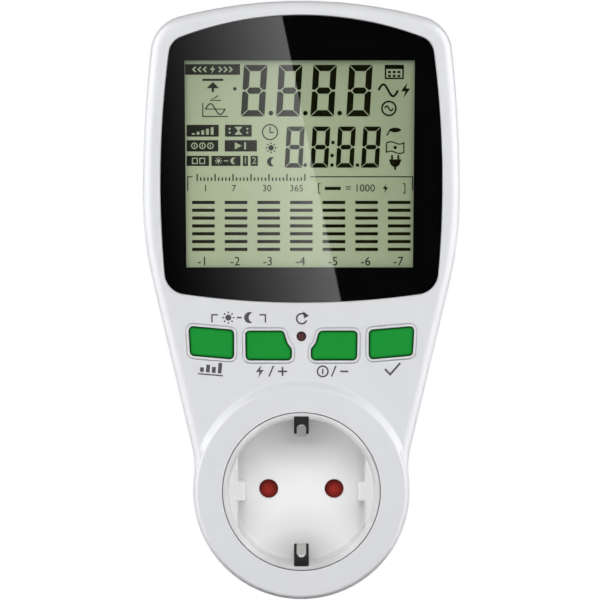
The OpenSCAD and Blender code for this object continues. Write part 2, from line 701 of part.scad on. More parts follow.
module rear_housing() {
    steps = [0, 22.5, 45, 67.5, 90];
    insets = concat([-draft], [for (t = steps) rear_edge_r * (1 - cos(t))]);
    depths = concat([y_part], [for (t = steps) -rear_edge_r * (1 - sin(t))]);
    lip_in = wall + lip_gap + lip_t;
    color("white") difference() {
        union() {
            difference() {
                loft([for (d = insets) body_outline(d)], depths);
                slab(y_part - 1, y_part + 3) polygon(body_outline(lip_in));
                slab(y_part + 2, y_rear) polygon(body_outline(wall));
            }
            difference() {
                slab(y_part - lip_h, y_part + 0.5) polygon(body_outline(wall + lip_gap));
                slab(y_part - lip_h - 1, y_part + 1) polygon(body_outline(lip_in));
                for (at = housing_screws_at) rod(at, boss_r + lip_gap, y_part - lip_h - 1, y_part);
            }
            intersection() {
                slab(y_part, y_rear + 0.5) polygon(body_outline(wall / 2));
                union() for (side = [-1, 1])
                    box(side * top_screw_x - web_t / 2, side * top_screw_x + web_t / 2, y_part, y_rear + 0.5,
                        head_h - top_screw_drop, head_h);
            }
            for (at = housing_screws_at) rod(at, tower_r, y_part, y_rear + 0.5);
            for (at = meter_screws_at) rod(at, meter_post_r, y_meter_back, y_rear + 0.5);
        }
        for (at = housing_screws_at) {
            rod(at, screw_r + pass_gap, y_part - 1, 1);
            rod(at, well_r, -well_d, 1);
        }
        for (at = meter_screws_at) rod(at, pilot_r, y_meter_back - 1, y_meter + small_screw_l + 0.5);
        rod([0, 0], plug_r + plug_gap, y_rear - 1, 1);
    }
}

module housing_screws() {
    color("silver") for (at = housing_screws_at) screw(at, -well_d, screw_head_r, 1.9, screw_r, screw_l);
}

// Display
module display_lens() {
    color("lightgrey", 0.4) slab(y_face, y_face + lens_t) polygon(lens_outline(0));
}

module lens_mask() {
    color("black") slab(y_face + lens_t, y_seat) difference() {
        polygon(lens_outline(0.3));
        view_plan(0);
    }
}

module display_gasket() {
    color("dimgrey") slab(y_ledge, y_glass) difference() {
        glass_plan(0);
        view_plan(window_gap);
    }
}

module display_glass() {
    color("darkseagreen") slab(y_glass, y_glass_back) glass_plan(0);
}

module display_frame() {
    rubber_foot = glass_foot_z + 0.7;
    rubber_top = rubber_foot + rubber_t + 2 * glass_gap;
    color("whitesmoke") difference() {
        slab(y_ledge, y_board) glass_plan(glass_gap + frame_wall);
        slab(y_ledge - 1, y_glass_back) glass_plan(glass_gap);
        box(-glass_w / 2 + shelf_w, glass_w / 2 - shelf_w, y_glass, y_board + 1,
            rubber_top + shelf_w, glass_top_z - shelf_w);
        box(-glass_w / 2 + shelf_w, glass_w / 2 - shelf_w, y_glass, y_board + 1, rubber_foot, rubber_top);
    }
}

module contact_rubber() {
    foot = glass_foot_z + 0.7 + glass_gap;
    half = glass_w / 2 - shelf_w - glass_gap;
    color("dimgrey") box(-half, half, y_glass_back, y_board, foot, foot + rubber_t);
}

module display_board() {
    color("green") difference() {
        slab(y_board, y_board_back) difference() {
            intersection() {
                polygon(body_outline(wall + board_gap));
                translate([-body_w, board_foot_z])
                    square([2 * body_w, head_h - board_top_drop - board_foot_z]);
            }
            for (at = housing_screws_at) translate(at) circle(r = boss_r + board_gap);
        }
        for (at = board_screws_at) rod(at, shank_hole_r, y_board - 1, y_board_back + 1);
    }
}

module display_chip() {
    ball_r = (drop_r * drop_r + drop_h * drop_h) / (2 * drop_h);
    rise = asin(drop_r / ball_r);
    color("black") translate([0, y_board_back, view_foot_z + drop_lift])
        turned(concat([[0, 0]], arc([0, drop_h - ball_r], ball_r, 90 - rise, 90, 6)));
}

module display_board_screws() {
    color("silver") for (at = board_screws_at)
        screw(at, y_board_back, small_head_r, small_head_h, small_screw_r, small_screw_l);
}

// Keys
module switch_body(at, r) {
    difference() {
        box(at[0] - switch_w / 2, at[0] + switch_w / 2, y_switch, y_board,
            at[1] - switch_w / 2, at[1] + switch_w / 2);
        rod(at, r, y_switch - 1, y_plunger_end + key_travel + 0.2);
    }
}

module switch_bodies() {
    color("darkslategrey") {
        for (k = [0:3]) switch_body(key_at(k), plunger_r + plunger_gap);
        switch_body([0, reset_z], reset_r + plunger_gap);
    }
}

module key(place) {
    color("forestgreen") union() {
        slab(y_face - key_proud, y_ledge + 0.2) key_plan(place, 0);
        slab(y_ledge, y_flange) key_plan(place, key_flange);
        rod(key_at(place), plunger_r, y_flange - 0.2, y_plunger);
    }
}

module plunger(place) {
    color("black") rod(key_at(place), plunger_r, y_plunger, y_plunger_end);
}

module history_key() key(0);
module up_key() key(1);
module down_key() key(2);
module set_key() key(3);
module history_plunger() plunger(0);
module up_plunger() plunger(1);
module down_plunger() plunger(2);
module set_plunger() plunger(3);

module reset_plunger() {
    color("maroon") rod([0, reset_z], reset_r, y_face + reset_depth, y_plunger_end);
}

// Socket
module socket_cup() {
    skirt_in = cup_r - skirt_t;
    half_flat = flat_gap / 2;
    color("white") difference() {
        union() {
            turned([[0, y_floor], [recess_r, y_floor], [recess_r, y_disc + mouth_bevel],
                [recess_r + mouth_bevel, y_disc], [cup_r, y_disc], [cup_r, y_ledge], [flange_r, y_ledge],
                [flange_r, y_ledge + flange_t], [cup_r, y_ledge + flange_t], [cup_r, y_carrier],
                [skirt_in, y_carrier], [skirt_in, y_floor_back], [0, y_floor_back]]);
            intersection() {
                rod([0, 0], recess_r + 0.5, y_disc + flat_depth, y_floor + 0.5);
                union() for (side = [-1, 1]) {
                    translate([side * (half_flat + 5), 0, 0])
                        box(-5, 5, y_disc, y_floor + 1, -recess_r, recess_r);
                    translate([side * (half_flat - rib_out + 5), 0, 0])
                        box(-5, 5, y_disc, y_floor + 1, -rib_h / 2, rib_h / 2);
                }
            }
            rod([0, 0], post_r, y_floor_back - 0.5, y_carrier_back);
            for (at = carrier_screws_at) rod(at, small_screw_r + 1.4, y_floor_back - 0.5, y_carrier);
        }
        for (side = [-1, 1]) {
            rod([side * hole_x, 0], pin_hole_r, y_floor - 1, y_floor_back + 1);
            translate([0, 0, side * (slot_inner + recess_r + slot_bite) / 2])
                box(-slot_w / 2, slot_w / 2, y_disc + 0.6, y_floor_back + 0.5,
                    (slot_inner - recess_r - slot_bite) / 2, (recess_r + slot_bite - slot_inner) / 2);
        }
        for (at = cup_screws_at) rod(at, shank_hole_r, y_ledge - 1, y_ledge + flange_t + 1);
        for (at = carrier_screws_at) rod(at, pilot_r, y_floor_back - 1, y_carrier + 1);
    }
}

module socket_cup_screws() {
    color("silver") for (at = cup_screws_at)
        screw(at, y_ledge + flange_t, small_head_r, small_head_h, small_screw_r, small_screw_l);
}

module safety_shutter() {
    color("firebrick") difference() {
        slab(y_shutter, y_shutter + shutter_t) union() {
            circle(r = hub_r);
            for (side = [-1, 1]) translate([side * hole_x, 0]) circle(r = pad_r);
            square([2 * hole_x, arm_w], center = true);
        }
        rod([0, 0], post_r + post_gap, y_shutter - 1, y_shutter + shutter_t + 1);
    }
}

// The spring lies in a pocket of the carrier, round the shutter's post
pocket_d = carrier_t - 1.1;
coil_pitch = (pocket_d - 4 * wire_r) / coil_turns;
module shutter_spring() {
    y_coil = y_carrier + 2 * wire_r;
    steps = 8 * coil_turns;
    coil = [for (i = [0:steps])
        let (a = 45 * i)
        [coil_r * cos(a), y_coil + coil_pitch * i / 8, coil_r * sin(a)]];
    start = coil[0] - [0, 0, 2 * wire_r];
    end = coil[steps] + [0, 0, 2 * wire_r];
    color("silver") wire(concat([start], coil, [end]), wire_r, [0, 1, 0], 6);
}

module contact_carrier() {
    sleeve_r = contact_r + contact_gap + sleeve_wall;
    color("gainsboro") difference() {
        union() {
            rod([0, 0], carrier_r, y_carrier, y_carrier_back);
            for (side = [-1, 1]) {
                rod([side * hole_x, 0], sleeve_r, y_carrier_back - 0.5, y_sleeve_end);
                for (up = [-1, 1])
                    rod([side * clamp_at, up * clamp_at], clamp_r, y_carrier_back - 0.5, y_plug);
            }
        }
        for (side = [-1, 1]) {
            rod([side * hole_x, 0], pin_hole_r, y_carrier - 1, y_contact + 0.5);
            rod([side * hole_x, 0], contact_r + contact_gap, y_contact, y_sleeve_end + 1);
            translate([0, 0, side * (leg_at + 4)])
                box(-strip_w / 2 - strip_gap, strip_w / 2 + strip_gap, y_carrier - 1, y_carrier_back + 1,
                    -4 - strip_t, 4 + strip_t);
        }
        rod([0, 0], post_r + post_gap, y_carrier - 1, y_carrier_back + 1);
        rod([0, 0], coil_r + wire_r + 0.6, y_carrier - 1, y_carrier + pocket_d);
        for (at = carrier_screws_at) rod(at, shank_hole_r, y_carrier - 1, y_carrier_back + 1);
    }
}

module carrier_screws() {
    color("silver") for (at = carrier_screws_at)
        screw(at, y_carrier_back, small_head_r, small_head_h, small_screw_r, small_screw_l);
}

module contact_tube(x) {
    difference() {
        rod([x, 0], contact_r, y_contact, y_contact_end);
        rod([x, 0], contact_r - contact_wall, y_contact - 1, y_contact_end - contact_end);
        box(x - 0.4, x + 0.4, y_contact - 1, y_contact + 8, -contact_r - 1, contact_r + 1);
    }
}

module live_contact() {
    color("goldenrod") contact_tube(hole_x);
}

module neutral_contact() {
    color("goldenrod") union() {
        contact_tube(-hole_x);
        rod([-hole_x, 0], contact_r - contact_wall, y_contact_end - 0.2, y_rivet);
    }
}

module current_shunt() {
    inner = hole_x - rivet_r + 0.4;
    outer = hole_x + shunt_out - shunt_t / 2;
    front = y_contact_end + shunt_t / 2;
    back = y_rivet - shunt_t / 2;
    color("peru") linear_extrude(height = shunt_w, center = true)
        polygon(bent_sheet([[inner, front], [outer, front], [outer, back], [inner, back]], shunt_t));
}

module earth_side() {
    y_tip = y_disc + clip_tip_d;
    y_wide = y_floor_back + 1.5;
    leg_end = plug_l - 1.7;
    clip = [[clip_tip_at, y_tip], [clip_gap / 2 + strip_t / 2 + 0.5, y_disc + clip_grip_d - 1.6],
        [clip_gap / 2 + strip_t / 2, y_disc + clip_grip_d],
        [clip_gap / 2 + strip_t / 2 + 0.4, y_disc + clip_grip_d + 1.6],
        [leg_at, y_floor - 1.5], [leg_at, y_wide + 1]];
    leg = [[leg_at, y_wide], [leg_at, 1.5], [side_contact_at, 4.5], [side_contact_at, leg_end]];
    intersection() {
        sheet_across(clip, strip_t, clip_w);
        union() {
            translate([0, y_tip + clip_w / 2, 0]) cylinder(r = clip_w / 2, h = 60);
            box(-strip_w, strip_w, y_tip + clip_w / 2, y_wide + 2, 0, 60);
        }
    }
    sheet_across(leg, strip_t, strip_w);
}

module earth_bracket() {
    reach = leg_at + strip_t / 2;
    color("silver") union() {
        earth_side();
        mirror([0, 0, 1]) earth_side();
        box(-strip_w / 2, strip_w / 2, y_plug - strip_t, y_plug, -reach, reach);
    }
}

// Plug
module plug_body() {
    channel_half = strip_w / 2 + strip_gap;
    channel_in = leg_at - strip_t / 2 - strip_gap;
    contact_in = side_contact_at - strip_t / 2 - strip_gap;
    color("white") difference() {
        turned([[0, y_plug], [plug_flange_r, y_plug], [plug_flange_r, y_rear], [plug_r, y_rear],
            [plug_r, plug_l - plug_bevel], [plug_r - plug_bevel, plug_l], [0, plug_l]]);
        for (side = [-1, 1]) {
            rod([side * hole_x, 0], root_r + root_gap, y_plug - 1, plug_l + 1);
            translate([side * (plug_r - groove_d + 5), 0, 0])
                box(-5, 5, 1, plug_l + 1, -groove_w / 2, groove_w / 2);
            mirror([0, 0, side < 0 ? 1 : 0]) {
                box(-channel_half, channel_half, y_plug - 1, 5, channel_in, plug_r + 0.5);
                box(-channel_half, channel_half, 4, plug_l - 1.2, contact_in, plug_r + 5);
            }
        }
    }
}

module plug_pin(x) {
    tip = plug_l + pin_l;
    translate([x, 0, 0]) turned(concat(
        [[0, y_rivet], [rivet_r, y_rivet], [rivet_r, y_plug], [root_r, y_plug], [root_r, plug_l], [pin_r, plug_l]],
        arc([pin_r - pin_tip_r, tip - pin_tip_r], pin_tip_r, 0, 90, 6), [[0, tip]]));
}

module live_pin() {
    color("silver") plug_pin(hole_x);
}

module neutral_pin() {
    color("silver") plug_pin(-hole_x);
}

// Metering
module metering_board() {
    color("green") difference() {
        box(-meter_w / 2, meter_w / 2, y_meter, y_meter_back, meter_foot_z, meter_foot_z + meter_h);
        for (at = meter_screws_at) rod(at, shank_hole_r, y_meter - 1, y_meter_back + 1);
    }
}

module metering_board_screws() {
    color("silver") for (at = meter_screws_at)
        translate([at[0], y_meter, at[1]]) rotate([0, 0, 180])
            screw([0, 0], 0, small_head_r, small_head_h, small_screw_r, small_screw_l);
}

module metering_chip() {
    color("black") box(chip_x, chip_x + chip_w, y_meter - chip_t, y_meter,
        meter_mid_z - lower_row - chip_h / 2, meter_mid_z - lower_row + chip_h / 2);
}

module dropper_capacitor() {
    color("khaki") box(-dropper_x - dropper_w, -dropper_x, y_meter - dropper_d, y_meter,
        meter_mid_z + upper_row - dropper_h / 2, meter_mid_z + upper_row + dropper_h / 2);
}

module smoothing_capacitor() {
    color("midnightblue") rod([smoother_x, meter_mid_z + upper_row], smoother_r, y_meter - smoother_d, y_meter);
}

module varistor() {
    color("royalblue") translate([varistor_x, y_meter - varistor_r, meter_mid_z - lower_row]) rotate([0, 90, 0])
        cylinder(r = varistor_r, h = varistor_t);
}

module backup_battery() {
    color("olivedrab") translate([-battery_x - battery_l, y_meter - battery_r, meter_mid_z - lower_row]) rotate([0, 90, 0])
        cylinder(r = battery_r, h = battery_l);
}

module ribbon_cable() {
    z0 = meter_mid_z + ribbon_lift;
    z1 = z0 + ribbon_rise;
    mid = (y_board_back + y_meter) / 2;
    color("lightgrey") sheet_across([[z0, y_board_back], [z0, mid - 3.5], [z0 + 1.2, mid - 1.6],
        [z1 - 1.2, mid + 1.6], [z1, mid + 3.5], [z1, y_meter]], ribbon_t, ribbon_w);
}

module lead(x, z) {
    y_low = (y_contact_end + y_rivet) / 2;
    z_high = meter_foot_z + 4;
    color("firebrick") wire([[x, y_low, z], [x, y_low, z + 5], [x, y_low, z_high - 5],
        [x, y_low - 1.4, z_high - 1.5], [x, y_low - 4, z_high], [x, y_meter_back, z_high]], lead_r, [1, 0, 0], 8);
}

module live_lead() lead(hole_x + shunt_out - shunt_t, shunt_w / 2 + 0.05);
module neutral_lead() lead(-hole_x, contact_r - contact_wall + 0.1);

front_housing();
rear_housing();
housing_screws();
display_lens();
lens_mask();
display_gasket();
display_glass();
display_frame();
contact_rubber();
display_board();
display_chip();
display_board_screws();
switch_bodies();
history_key();
up_key();
down_key();
set_key();
history_plunger();
up_plunger();
down_plunger();
set_plunger();
reset_plunger();
socket_cup();
socket_cup_screws();
safety_shutter();
shutter_spring();
contact_carrier();
carrier_screws();
live_contact();
neutral_contact();
current_shunt();
earth_bracket();
plug_body();
live_pin();
neutral_pin();
metering_board();
metering_board_screws();
metering_chip();
dropper_capacitor();
smoothing_capacitor();
varistor();
backup_battery();
ribbon_cable();
live_lead();
neutral_lead();
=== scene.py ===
"""Looks of a plug-in energy meter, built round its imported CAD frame.

Lengths in the mesh code are millimetres, in the frame of the part: +Z up, the front facing -Y, and the
origin on the common axis of plug and socket in the plane of the wall. Properties are in metres.
"""

import math

import bmesh
import bpy
from bpy.props import FloatProperty, FloatVectorProperty, PointerProperty
from mathutils import Matrix, Vector
from mathutils.geometry import interpolate_bezier


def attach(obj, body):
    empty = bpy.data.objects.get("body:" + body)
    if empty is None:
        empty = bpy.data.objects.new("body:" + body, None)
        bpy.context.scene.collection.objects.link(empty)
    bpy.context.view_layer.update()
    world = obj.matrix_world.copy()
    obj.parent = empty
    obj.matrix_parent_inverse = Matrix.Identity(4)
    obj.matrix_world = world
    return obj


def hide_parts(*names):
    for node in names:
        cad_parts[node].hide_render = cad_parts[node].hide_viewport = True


bl_info = {
    "name": "Plug-in energy meter",
    "version": (1, 0, 0),
    "blender": (4, 5, 0),
    "location": "View3D > Sidebar > Meter",
    "description": "Dresses the CAD frame of a plug-in energy meter",
    "category": "Add Mesh",
}

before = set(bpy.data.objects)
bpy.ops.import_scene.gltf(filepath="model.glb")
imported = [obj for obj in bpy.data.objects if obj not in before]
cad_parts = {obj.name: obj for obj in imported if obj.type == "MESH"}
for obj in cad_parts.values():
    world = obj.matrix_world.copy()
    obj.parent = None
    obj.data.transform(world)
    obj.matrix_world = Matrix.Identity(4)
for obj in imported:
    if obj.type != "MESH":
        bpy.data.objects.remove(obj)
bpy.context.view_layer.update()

MM = 0.001

# Depths, the same as in the part's source
DISC, FACE, SEAT, LEDGE, GLASS = -46.0, -44.0, -42.3, -41.2, -40.9
FLOOR, FLOOR_BACK, PART, REAR, PLUG_END = -28.5, -25.5, -18.0, -2.5, 17.5

# Head, and the wells of its screws
HEAD_TOP, WAIST, HALF_W, DRAFT, WALL = 140.6, 85.0, 45.5, 0.5, 2.0
WELLS = ((-24.0, 132.0), (24.0, 132.0), (-26.5, 22.0), (26.5, 22.0))
WELL_R, WELL_D, TOWER_R = 3.0, 10.0, 4.2

# Lens, and the window of its mask
LENS_TOP, LENS_FOOT, LENS_HALF, LENS_WAIST, LENS_GAP = 136.35, 54.0, 40.4, 88.5, 0.15
VIEW_X, VIEW_TOP, VIEW_FOOT, VIEW_HALF, VIEW_TAPER = -0.5, 123.4, 64.1, 33.0, 0.55

# Keys and reset hole
KEYS = ("history", "up", "down", "set")
KEY_Z, OUTER_X, INNER_X, OUTER_LIFT = 41.7, 25.8, 9.4, 0.8
KEY_PROUD, KEY_GAP, RIM_W, RIM_H, GROOVE = 0.9, 0.2, 0.65, 0.25, 0.3
RESET_Z, RESET_R = 44.3, 1.4

# Socket
FOOT_R, DISC_R, CUP_R, CUP_GAP, RECESS_R = 31.1, 30.4, 22.45, 0.22, 20.7
FLAT_X, RIB_X, RIB_HALF, FLAT_DEPTH, MOUTH = 18.2, 16.0, 2.8, 1.2, 1.5
HOLE_X, HOLE_R = 9.5, 2.75
SLOT_HALF, SLOT_IN, SLOT_OUT = 2.15, 15.9, 21.5

# Plug and earth bracket
PLUG_R, PLUG_EDGE, PLUG_GAP, PIN_BORE = 18.3, 1.0, 0.1, 2.73
SHEET, CLIP_HALF, LEG_HALF, LEG_AT, SIDE_AT, LEG_END, BAR = 0.6, 1.35, 3.0, 17.1, 18.05, 15.8, -4.8

# Sides of the largest rounds
DISC_SIDES, PLUG_SIDES = 200, 160

# How far a cut runs past the face that it opens
PAST = 0.5


class MeterShapes(bpy.types.PropertyGroup):
    """Roundings and seams that the CAD solids leave out."""

    front_edge: FloatProperty(name="Front edge", description="Rounding of the front edge of the head",
                              default=0.0032, unit="LENGTH", subtype="DISTANCE")
    rear_edge: FloatProperty(name="Rear edge", description="Rounding of the rear edge",
                             default=0.003, unit="LENGTH", subtype="DISTANCE")
    disc_edge: FloatProperty(name="Disc edge", description="Rounding of the edge of the raised disc",
                             default=0.001, unit="LENGTH", subtype="DISTANCE")
    small_edge: FloatProperty(name="Small edges", description="Rounding of the edges of openings",
                              default=0.0003, unit="LENGTH", subtype="DISTANCE")
    key_edge: FloatProperty(name="Key edge", description="Rounding of the front edge of the keys",
                            default=0.0009, unit="LENGTH", subtype="DISTANCE")
    seam: FloatProperty(name="Seam", description="Bevel on each side of the parting line",
                        default=0.0003, unit="LENGTH", subtype="DISTANCE")


class MeterColours(bpy.types.PropertyGroup):
    """Main colours, as linear values."""

    shell: FloatVectorProperty(name="Shell", description="White of the housing", subtype="COLOR",
                               default=(0.72, 0.725, 0.745))
    # painted light: whiter than the shell, so that the recess floor looks brightly lit
    socket: FloatVectorProperty(name="Socket", description="White of the socket cup", subtype="COLOR",
                                default=(0.9, 0.9, 0.9))
    key: FloatVectorProperty(name="Keys", description="Green of the keys", subtype="COLOR",
                             default=(0.015, 0.29, 0.04))
    display: FloatVectorProperty(name="Display", description="Pale green of the display", subtype="COLOR",
                                 default=(0.335, 0.39, 0.248))
    segment: FloatVectorProperty(name="Segments", description="Dark marks of the display", subtype="COLOR",
                                 default=(0.008, 0.009, 0.003))
    ink: FloatVectorProperty(name="Ink", description="Dark grey of the printed marks", subtype="COLOR",
                             default=(0.045, 0.045, 0.048))
    shutter: FloatVectorProperty(name="Shutter", description="Red of the safety shutter", subtype="COLOR",
                                 default=(0.3, 0.017, 0.009))


class MeterStage(bpy.types.PropertyGroup):
    """Camera, floor and light."""

    distance: FloatProperty(name="Camera distance", description="Distance of the camera from the disc",
                            default=1.138, unit="LENGTH", subtype="DISTANCE")
    height: FloatProperty(name="Camera height", description="Height of the camera over the socket axis",
                          default=0.05474, unit="LENGTH", subtype="DISTANCE")
    across: FloatProperty(name="Camera offset", description="Distance of the camera right of the axis",
                          default=-0.0004, unit="LENGTH", subtype="DISTANCE")
    field: FloatProperty(name="Field width", description="Width of the picture at the socket disc",
                         default=0.17143, unit="LENGTH", subtype="DISTANCE")
    floor: FloatProperty(name="Floor height", description="Height of the floor over the socket axis",
                         default=-0.09, unit="LENGTH", subtype="DISTANCE")
    ambient: FloatProperty(name="Ambient", description="Strength of the light from all round", default=0.2)
    key_power: FloatProperty(name="Key lamp", description="Power of the lamp over the camera",
                             default=13.8, unit="POWER", subtype="POWER")
    side_power: FloatProperty(name="Side lamps", description="Power of each lamp left and right",
                              default=2.5, unit="POWER", subtype="POWER")
    back_power: FloatProperty(name="Back lamps", description="Power of each lamp behind the object",
                              default=3.1, unit="POWER", subtype="POWER")
    gloss_power: FloatProperty(name="Side panels", description="Power of each panel that the gloss mirrors",
                               default=27.0, unit="POWER", subtype="POWER")
    card: FloatProperty(name="Card", description="Strength of the card that the lens mirrors", default=1.55)


# Outlines, as points across and up

def heading(a):
    """Direction at an angle in degrees, counted from the right."""
    return Vector((math.cos(math.radians(a)), math.sin(math.radians(a))))


def bearing(p):
    """Angle of a direction, in degrees."""
    return math.degrees(math.atan2(p[1], p[0]))


def arc(c, r, a0, a1, n):
    """Points of an arc from one angle to another, in even steps."""
    return [Vector(c) + r * heading(a0 + (a1 - a0) * i / n) for i in range(n + 1)]


def crossing(c1, r1, c2, r2):
    """Where two circles cross, to the left of the way from the first centre to the second."""
    way = c2 - c1
    d = way.length
    along = (r1 * r1 - r2 * r2 + d * d) / (2 * d)
    across = math.sqrt(r1 * r1 - along * along)
    u = way / d
    return c1 + along * u + across * Vector((-u.y, u.x))


def both_sides(half):
    """Right half from foot to top, and its mirror image back down."""
    return half + [Vector((-p.x, p.y)) for p in reversed(half[1:-1])]


def body_outline(inset):
    """Plan of the head and its round foot, as arcs that run into each other."""
    crown_r, corner_r, side_r, shoulder_r, neck_r, neck_z = 138.0, 11.0, 382.0, 110.0, 25.0, 6.7
    crown = Vector((0, HEAD_TOP - crown_r))
    side, shoulder = Vector((HALF_W - side_r, WAIST)), Vector((HALF_W - shoulder_r, WAIST))
    corner = crossing(side, side_r - corner_r, crown, crown_r - corner_r)
    neck = Vector((math.sqrt((FOOT_R + neck_r) ** 2 - neck_z ** 2), neck_z))
    way = neck - shoulder
    lean = bearing(way) + math.degrees(math.acos((shoulder_r + neck_r) / way.length))
    a_neck, a_side, a_crown = bearing(neck), bearing(corner - side), bearing(corner - crown)
    return both_sides(
        arc((0, 0), FOOT_R - inset, -90, a_neck, 44)[:-1]
        + arc(neck, neck_r + inset, 180 + a_neck, 180 + lean, 10)
        + arc(shoulder, shoulder_r - inset, lean, 0, 16)[:-1]
        + arc(side, side_r - inset, 0, a_side, 14)[:-1]
        + arc(corner, corner_r - inset, a_side, a_crown, 22)[:-1]
        + arc(crown, crown_r - inset, a_crown, 90, 22))


def lens_outline(inset):
    """Plan of the lens: four shallow arcs with round corners."""
    top_r, foot_r, side_r, top_corner, foot_corner = 98.0, 240.0, 290.0, 5.4, 6.3
    top, foot = Vector((0, LENS_TOP - top_r)), Vector((0, LENS_FOOT + foot_r))
    side = Vector((LENS_HALF - side_r, LENS_WAIST))
    upper = crossing(side, side_r - top_corner, top, top_r - top_corner)
    lower = crossing(foot, foot_r - foot_corner, side, side_r - foot_corner)
    a_foot, a_low = bearing(lower - foot), bearing(lower - side)
    a_high, a_top = bearing(upper - side), bearing(upper - top)
    return both_sides(
        arc(foot, foot_r - inset, -90, a_foot, 16)[:-1]
        + arc(lower, foot_corner - inset, a_foot, a_low, 16)[:-1]
        + arc(side, side_r - inset, a_low, a_high, 20)[:-1]
        + arc(upper, top_corner - inset, a_high, a_top, 16)[:-1]
        + arc(top, top_r - inset, a_top, 90, 20))


def grown(corners, g):
    """Corners moved out by a distance, for points that run anticlockwise."""
    def out(p, q):
        return Vector((q.y - p.y, p.x - q.x)).normalized()
    n = len(corners)
    moved = []
    for i, p in enumerate(corners):
        a, b = out(corners[i - 1], p), out(p, corners[(i + 1) % n])
        moved.append(p + g * (a + b) / (1 + a.dot(b)))
    return moved


def rounded(corners, radii, n=8):
    """Corners rounded, each by its own radius; zero leaves a corner as it is."""
    points = []
    for i, (p, r) in enumerate(zip(corners, radii)):
        if r <= 0:
            points.append(Vector(p))
            continue
        u, v = (corners[i - 1] - p).normalized(), (corners[(i + 1) % len(corners)] - p).normalized()
        half = math.acos(u.dot(v)) / 2
        c = p + (u + v).normalized() * r / math.sin(half)
        a0 = bearing(p + u * r / math.tan(half) - c)
        turn = (bearing(p + v * r / math.tan(half) - c) - a0 + 180) % 360 - 180
        points += arc(c, r, a0, a0 + turn, n)
    return points


def key_outline(place, g):
    """Plan of a key grown by a distance; places run from left to right."""
    half_h, corner = 4.075, 1.1
    if place in (0, 3):
        half, taper, skew = 6.35, 0.45, 0.55
        corners = [(-half, half_h + skew), (-half + taper, -half_h + skew), (half, -half_h - skew),
                   (half, half_h - skew)]
        radii = [corner + g] * 4
        middle = Vector((-OUTER_X, KEY_Z + OUTER_LIFT))
    else:
        half, taper, hollow_w, hollow_h, hollow_r, bend_x, bend_z = 6.5, 0.15, 2.35, 5.1, 3.6, 1.1, 1.6
        bend = (half - hollow_w + bend_x, half_h - hollow_h + bend_z)
        corners = [(-half, half_h), (-half + taper, -half_h), (half, -half_h), (half, half_h - hollow_h),
                   bend, (half - hollow_w, half_h)]
        radii = [hollow_r - g if c == bend else corner + g for c in corners]
        middle = Vector((-INNER_X, KEY_Z))
    points = [middle + p for p in rounded(grown([Vector(c) for c in corners], g), radii)]
    return points if place < 2 else [Vector((-p.x, p.y)) for p in reversed(points)]


def recess_outline(shrink, flat):
    """Plan of the socket recess: round wall, two flats, and a guide rib on each flat."""
    steps, rib_foot, rib_edge = 60, 0.35, 0.45
    r, flat_x, rib_x, rib = RECESS_R - shrink, FLAT_X + flat, RIB_X + flat, RIB_HALF - flat
    z = math.sqrt(r * r - flat_x * flat_x)
    turn = bearing((flat_x, z))
    right = [Vector(p) for p in ((flat_x, -z), (flat_x, -rib), (rib_x, -rib), (rib_x, rib), (flat_x, rib),
                                 (flat_x, z))]
    left = [-p for p in right]
    top = arc((0, 0), r, turn, 180 - turn, steps)
    foot = arc((0, 0), r, 180 + turn, 360 - turn, steps)
    corners = right + top[1:-1] + left + foot[1:-1]
    radii = ([0.0, rib_foot, rib_edge, rib_edge, rib_foot, 0.0] + [0.0] * (steps - 1)) * 2
    return rounded(corners, radii, 4)


def circle(c, r, n=96):
    return arc(c, r, 0, 360 - 360 / n, n - 1)


def rectangle(x0, z0, x1, z1, r=0.0):
    corners = [Vector(p) for p in ((x0, z0), (x1, z0), (x1, z1), (x0, z1))]
    return rounded(corners, [r] * 4, 5)


# Solids, as points and faces

def lofted(rings):
    """Closed skin through rings of equal length."""
    n, last = len(rings[0]), len(rings) - 1
    points = [tuple(p) for ring in rings for p in ring]
    faces = [(k * n + j, k * n + (j + 1) % n, (k + 1) * n + (j + 1) % n, (k + 1) * n + j)
             for k in range(last) for j in range(n)]
    return points, faces + [tuple(reversed(range(n))), tuple(range(last * n, last * n + n))]


def prism(outline, stops):
    """Solid along the depth: at each stop, the outline moved in by that stop's inset."""
    return lofted([[(p.x, y, p.y) for p in outline(inset)] for y, inset in stops])


def hollow_prism(outer, inner, y0, y1):
    """Ring between two outlines of equal length."""
    n = len(outer)
    round_trip = ((outer, y0), (outer, y1), (inner, y1), (inner, y0))
    rings = [[(p.x, y, p.y) for p in side] for side, y in round_trip]
    faces = [(k * n + j, k * n + (j + 1) % n, (k + 1) % 4 * n + (j + 1) % n, (k + 1) % 4 * n + j)
             for k in range(4) for j in range(n)]
    return [p for ring in rings for p in ring], faces


def turned(profile, n):
    """Solid of revolution about the depth axis, from radius and depth, starting and ending on the axis."""
    points, faces = [(0.0, profile[0][1], 0.0), (0.0, profile[-1][1], 0.0)], []
    for r, y in profile[1:-1]:
        points += [(p.x, y, p.y) for p in circle((0, 0), r, n)]
    rows = len(profile) - 2
    at = [[2 + k * n + j for j in range(n)] for k in range(rows)]
    for j in range(n):
        i = (j + 1) % n
        faces.append((0, at[0][i], at[0][j]))
        faces.append((1, at[-1][j], at[-1][i]))
        faces += [(at[k][j], at[k][i], at[k + 1][i], at[k + 1][j]) for k in range(rows - 1)]
    return points, faces


def joined(solids):
    """Several solids as one list of points and faces."""
    points, faces = [], []
    for p, f in solids:
        faces += [tuple(i + len(points) for i in face) for face in f]
        points += p
    return points, faces


def bore(c, r, stops, n=48):
    """Round solid along the depth."""
    return prism(lambda inset: circle(c, r - inset, n), stops)


def block(x0, z0, x1, z1, y0, y1, r=0.0):
    """Box along the depth, with rounded corners."""
    return prism(lambda inset: rectangle(x0, z0, x1, z1, r), [(y0, 0.0), (y1, 0.0)])


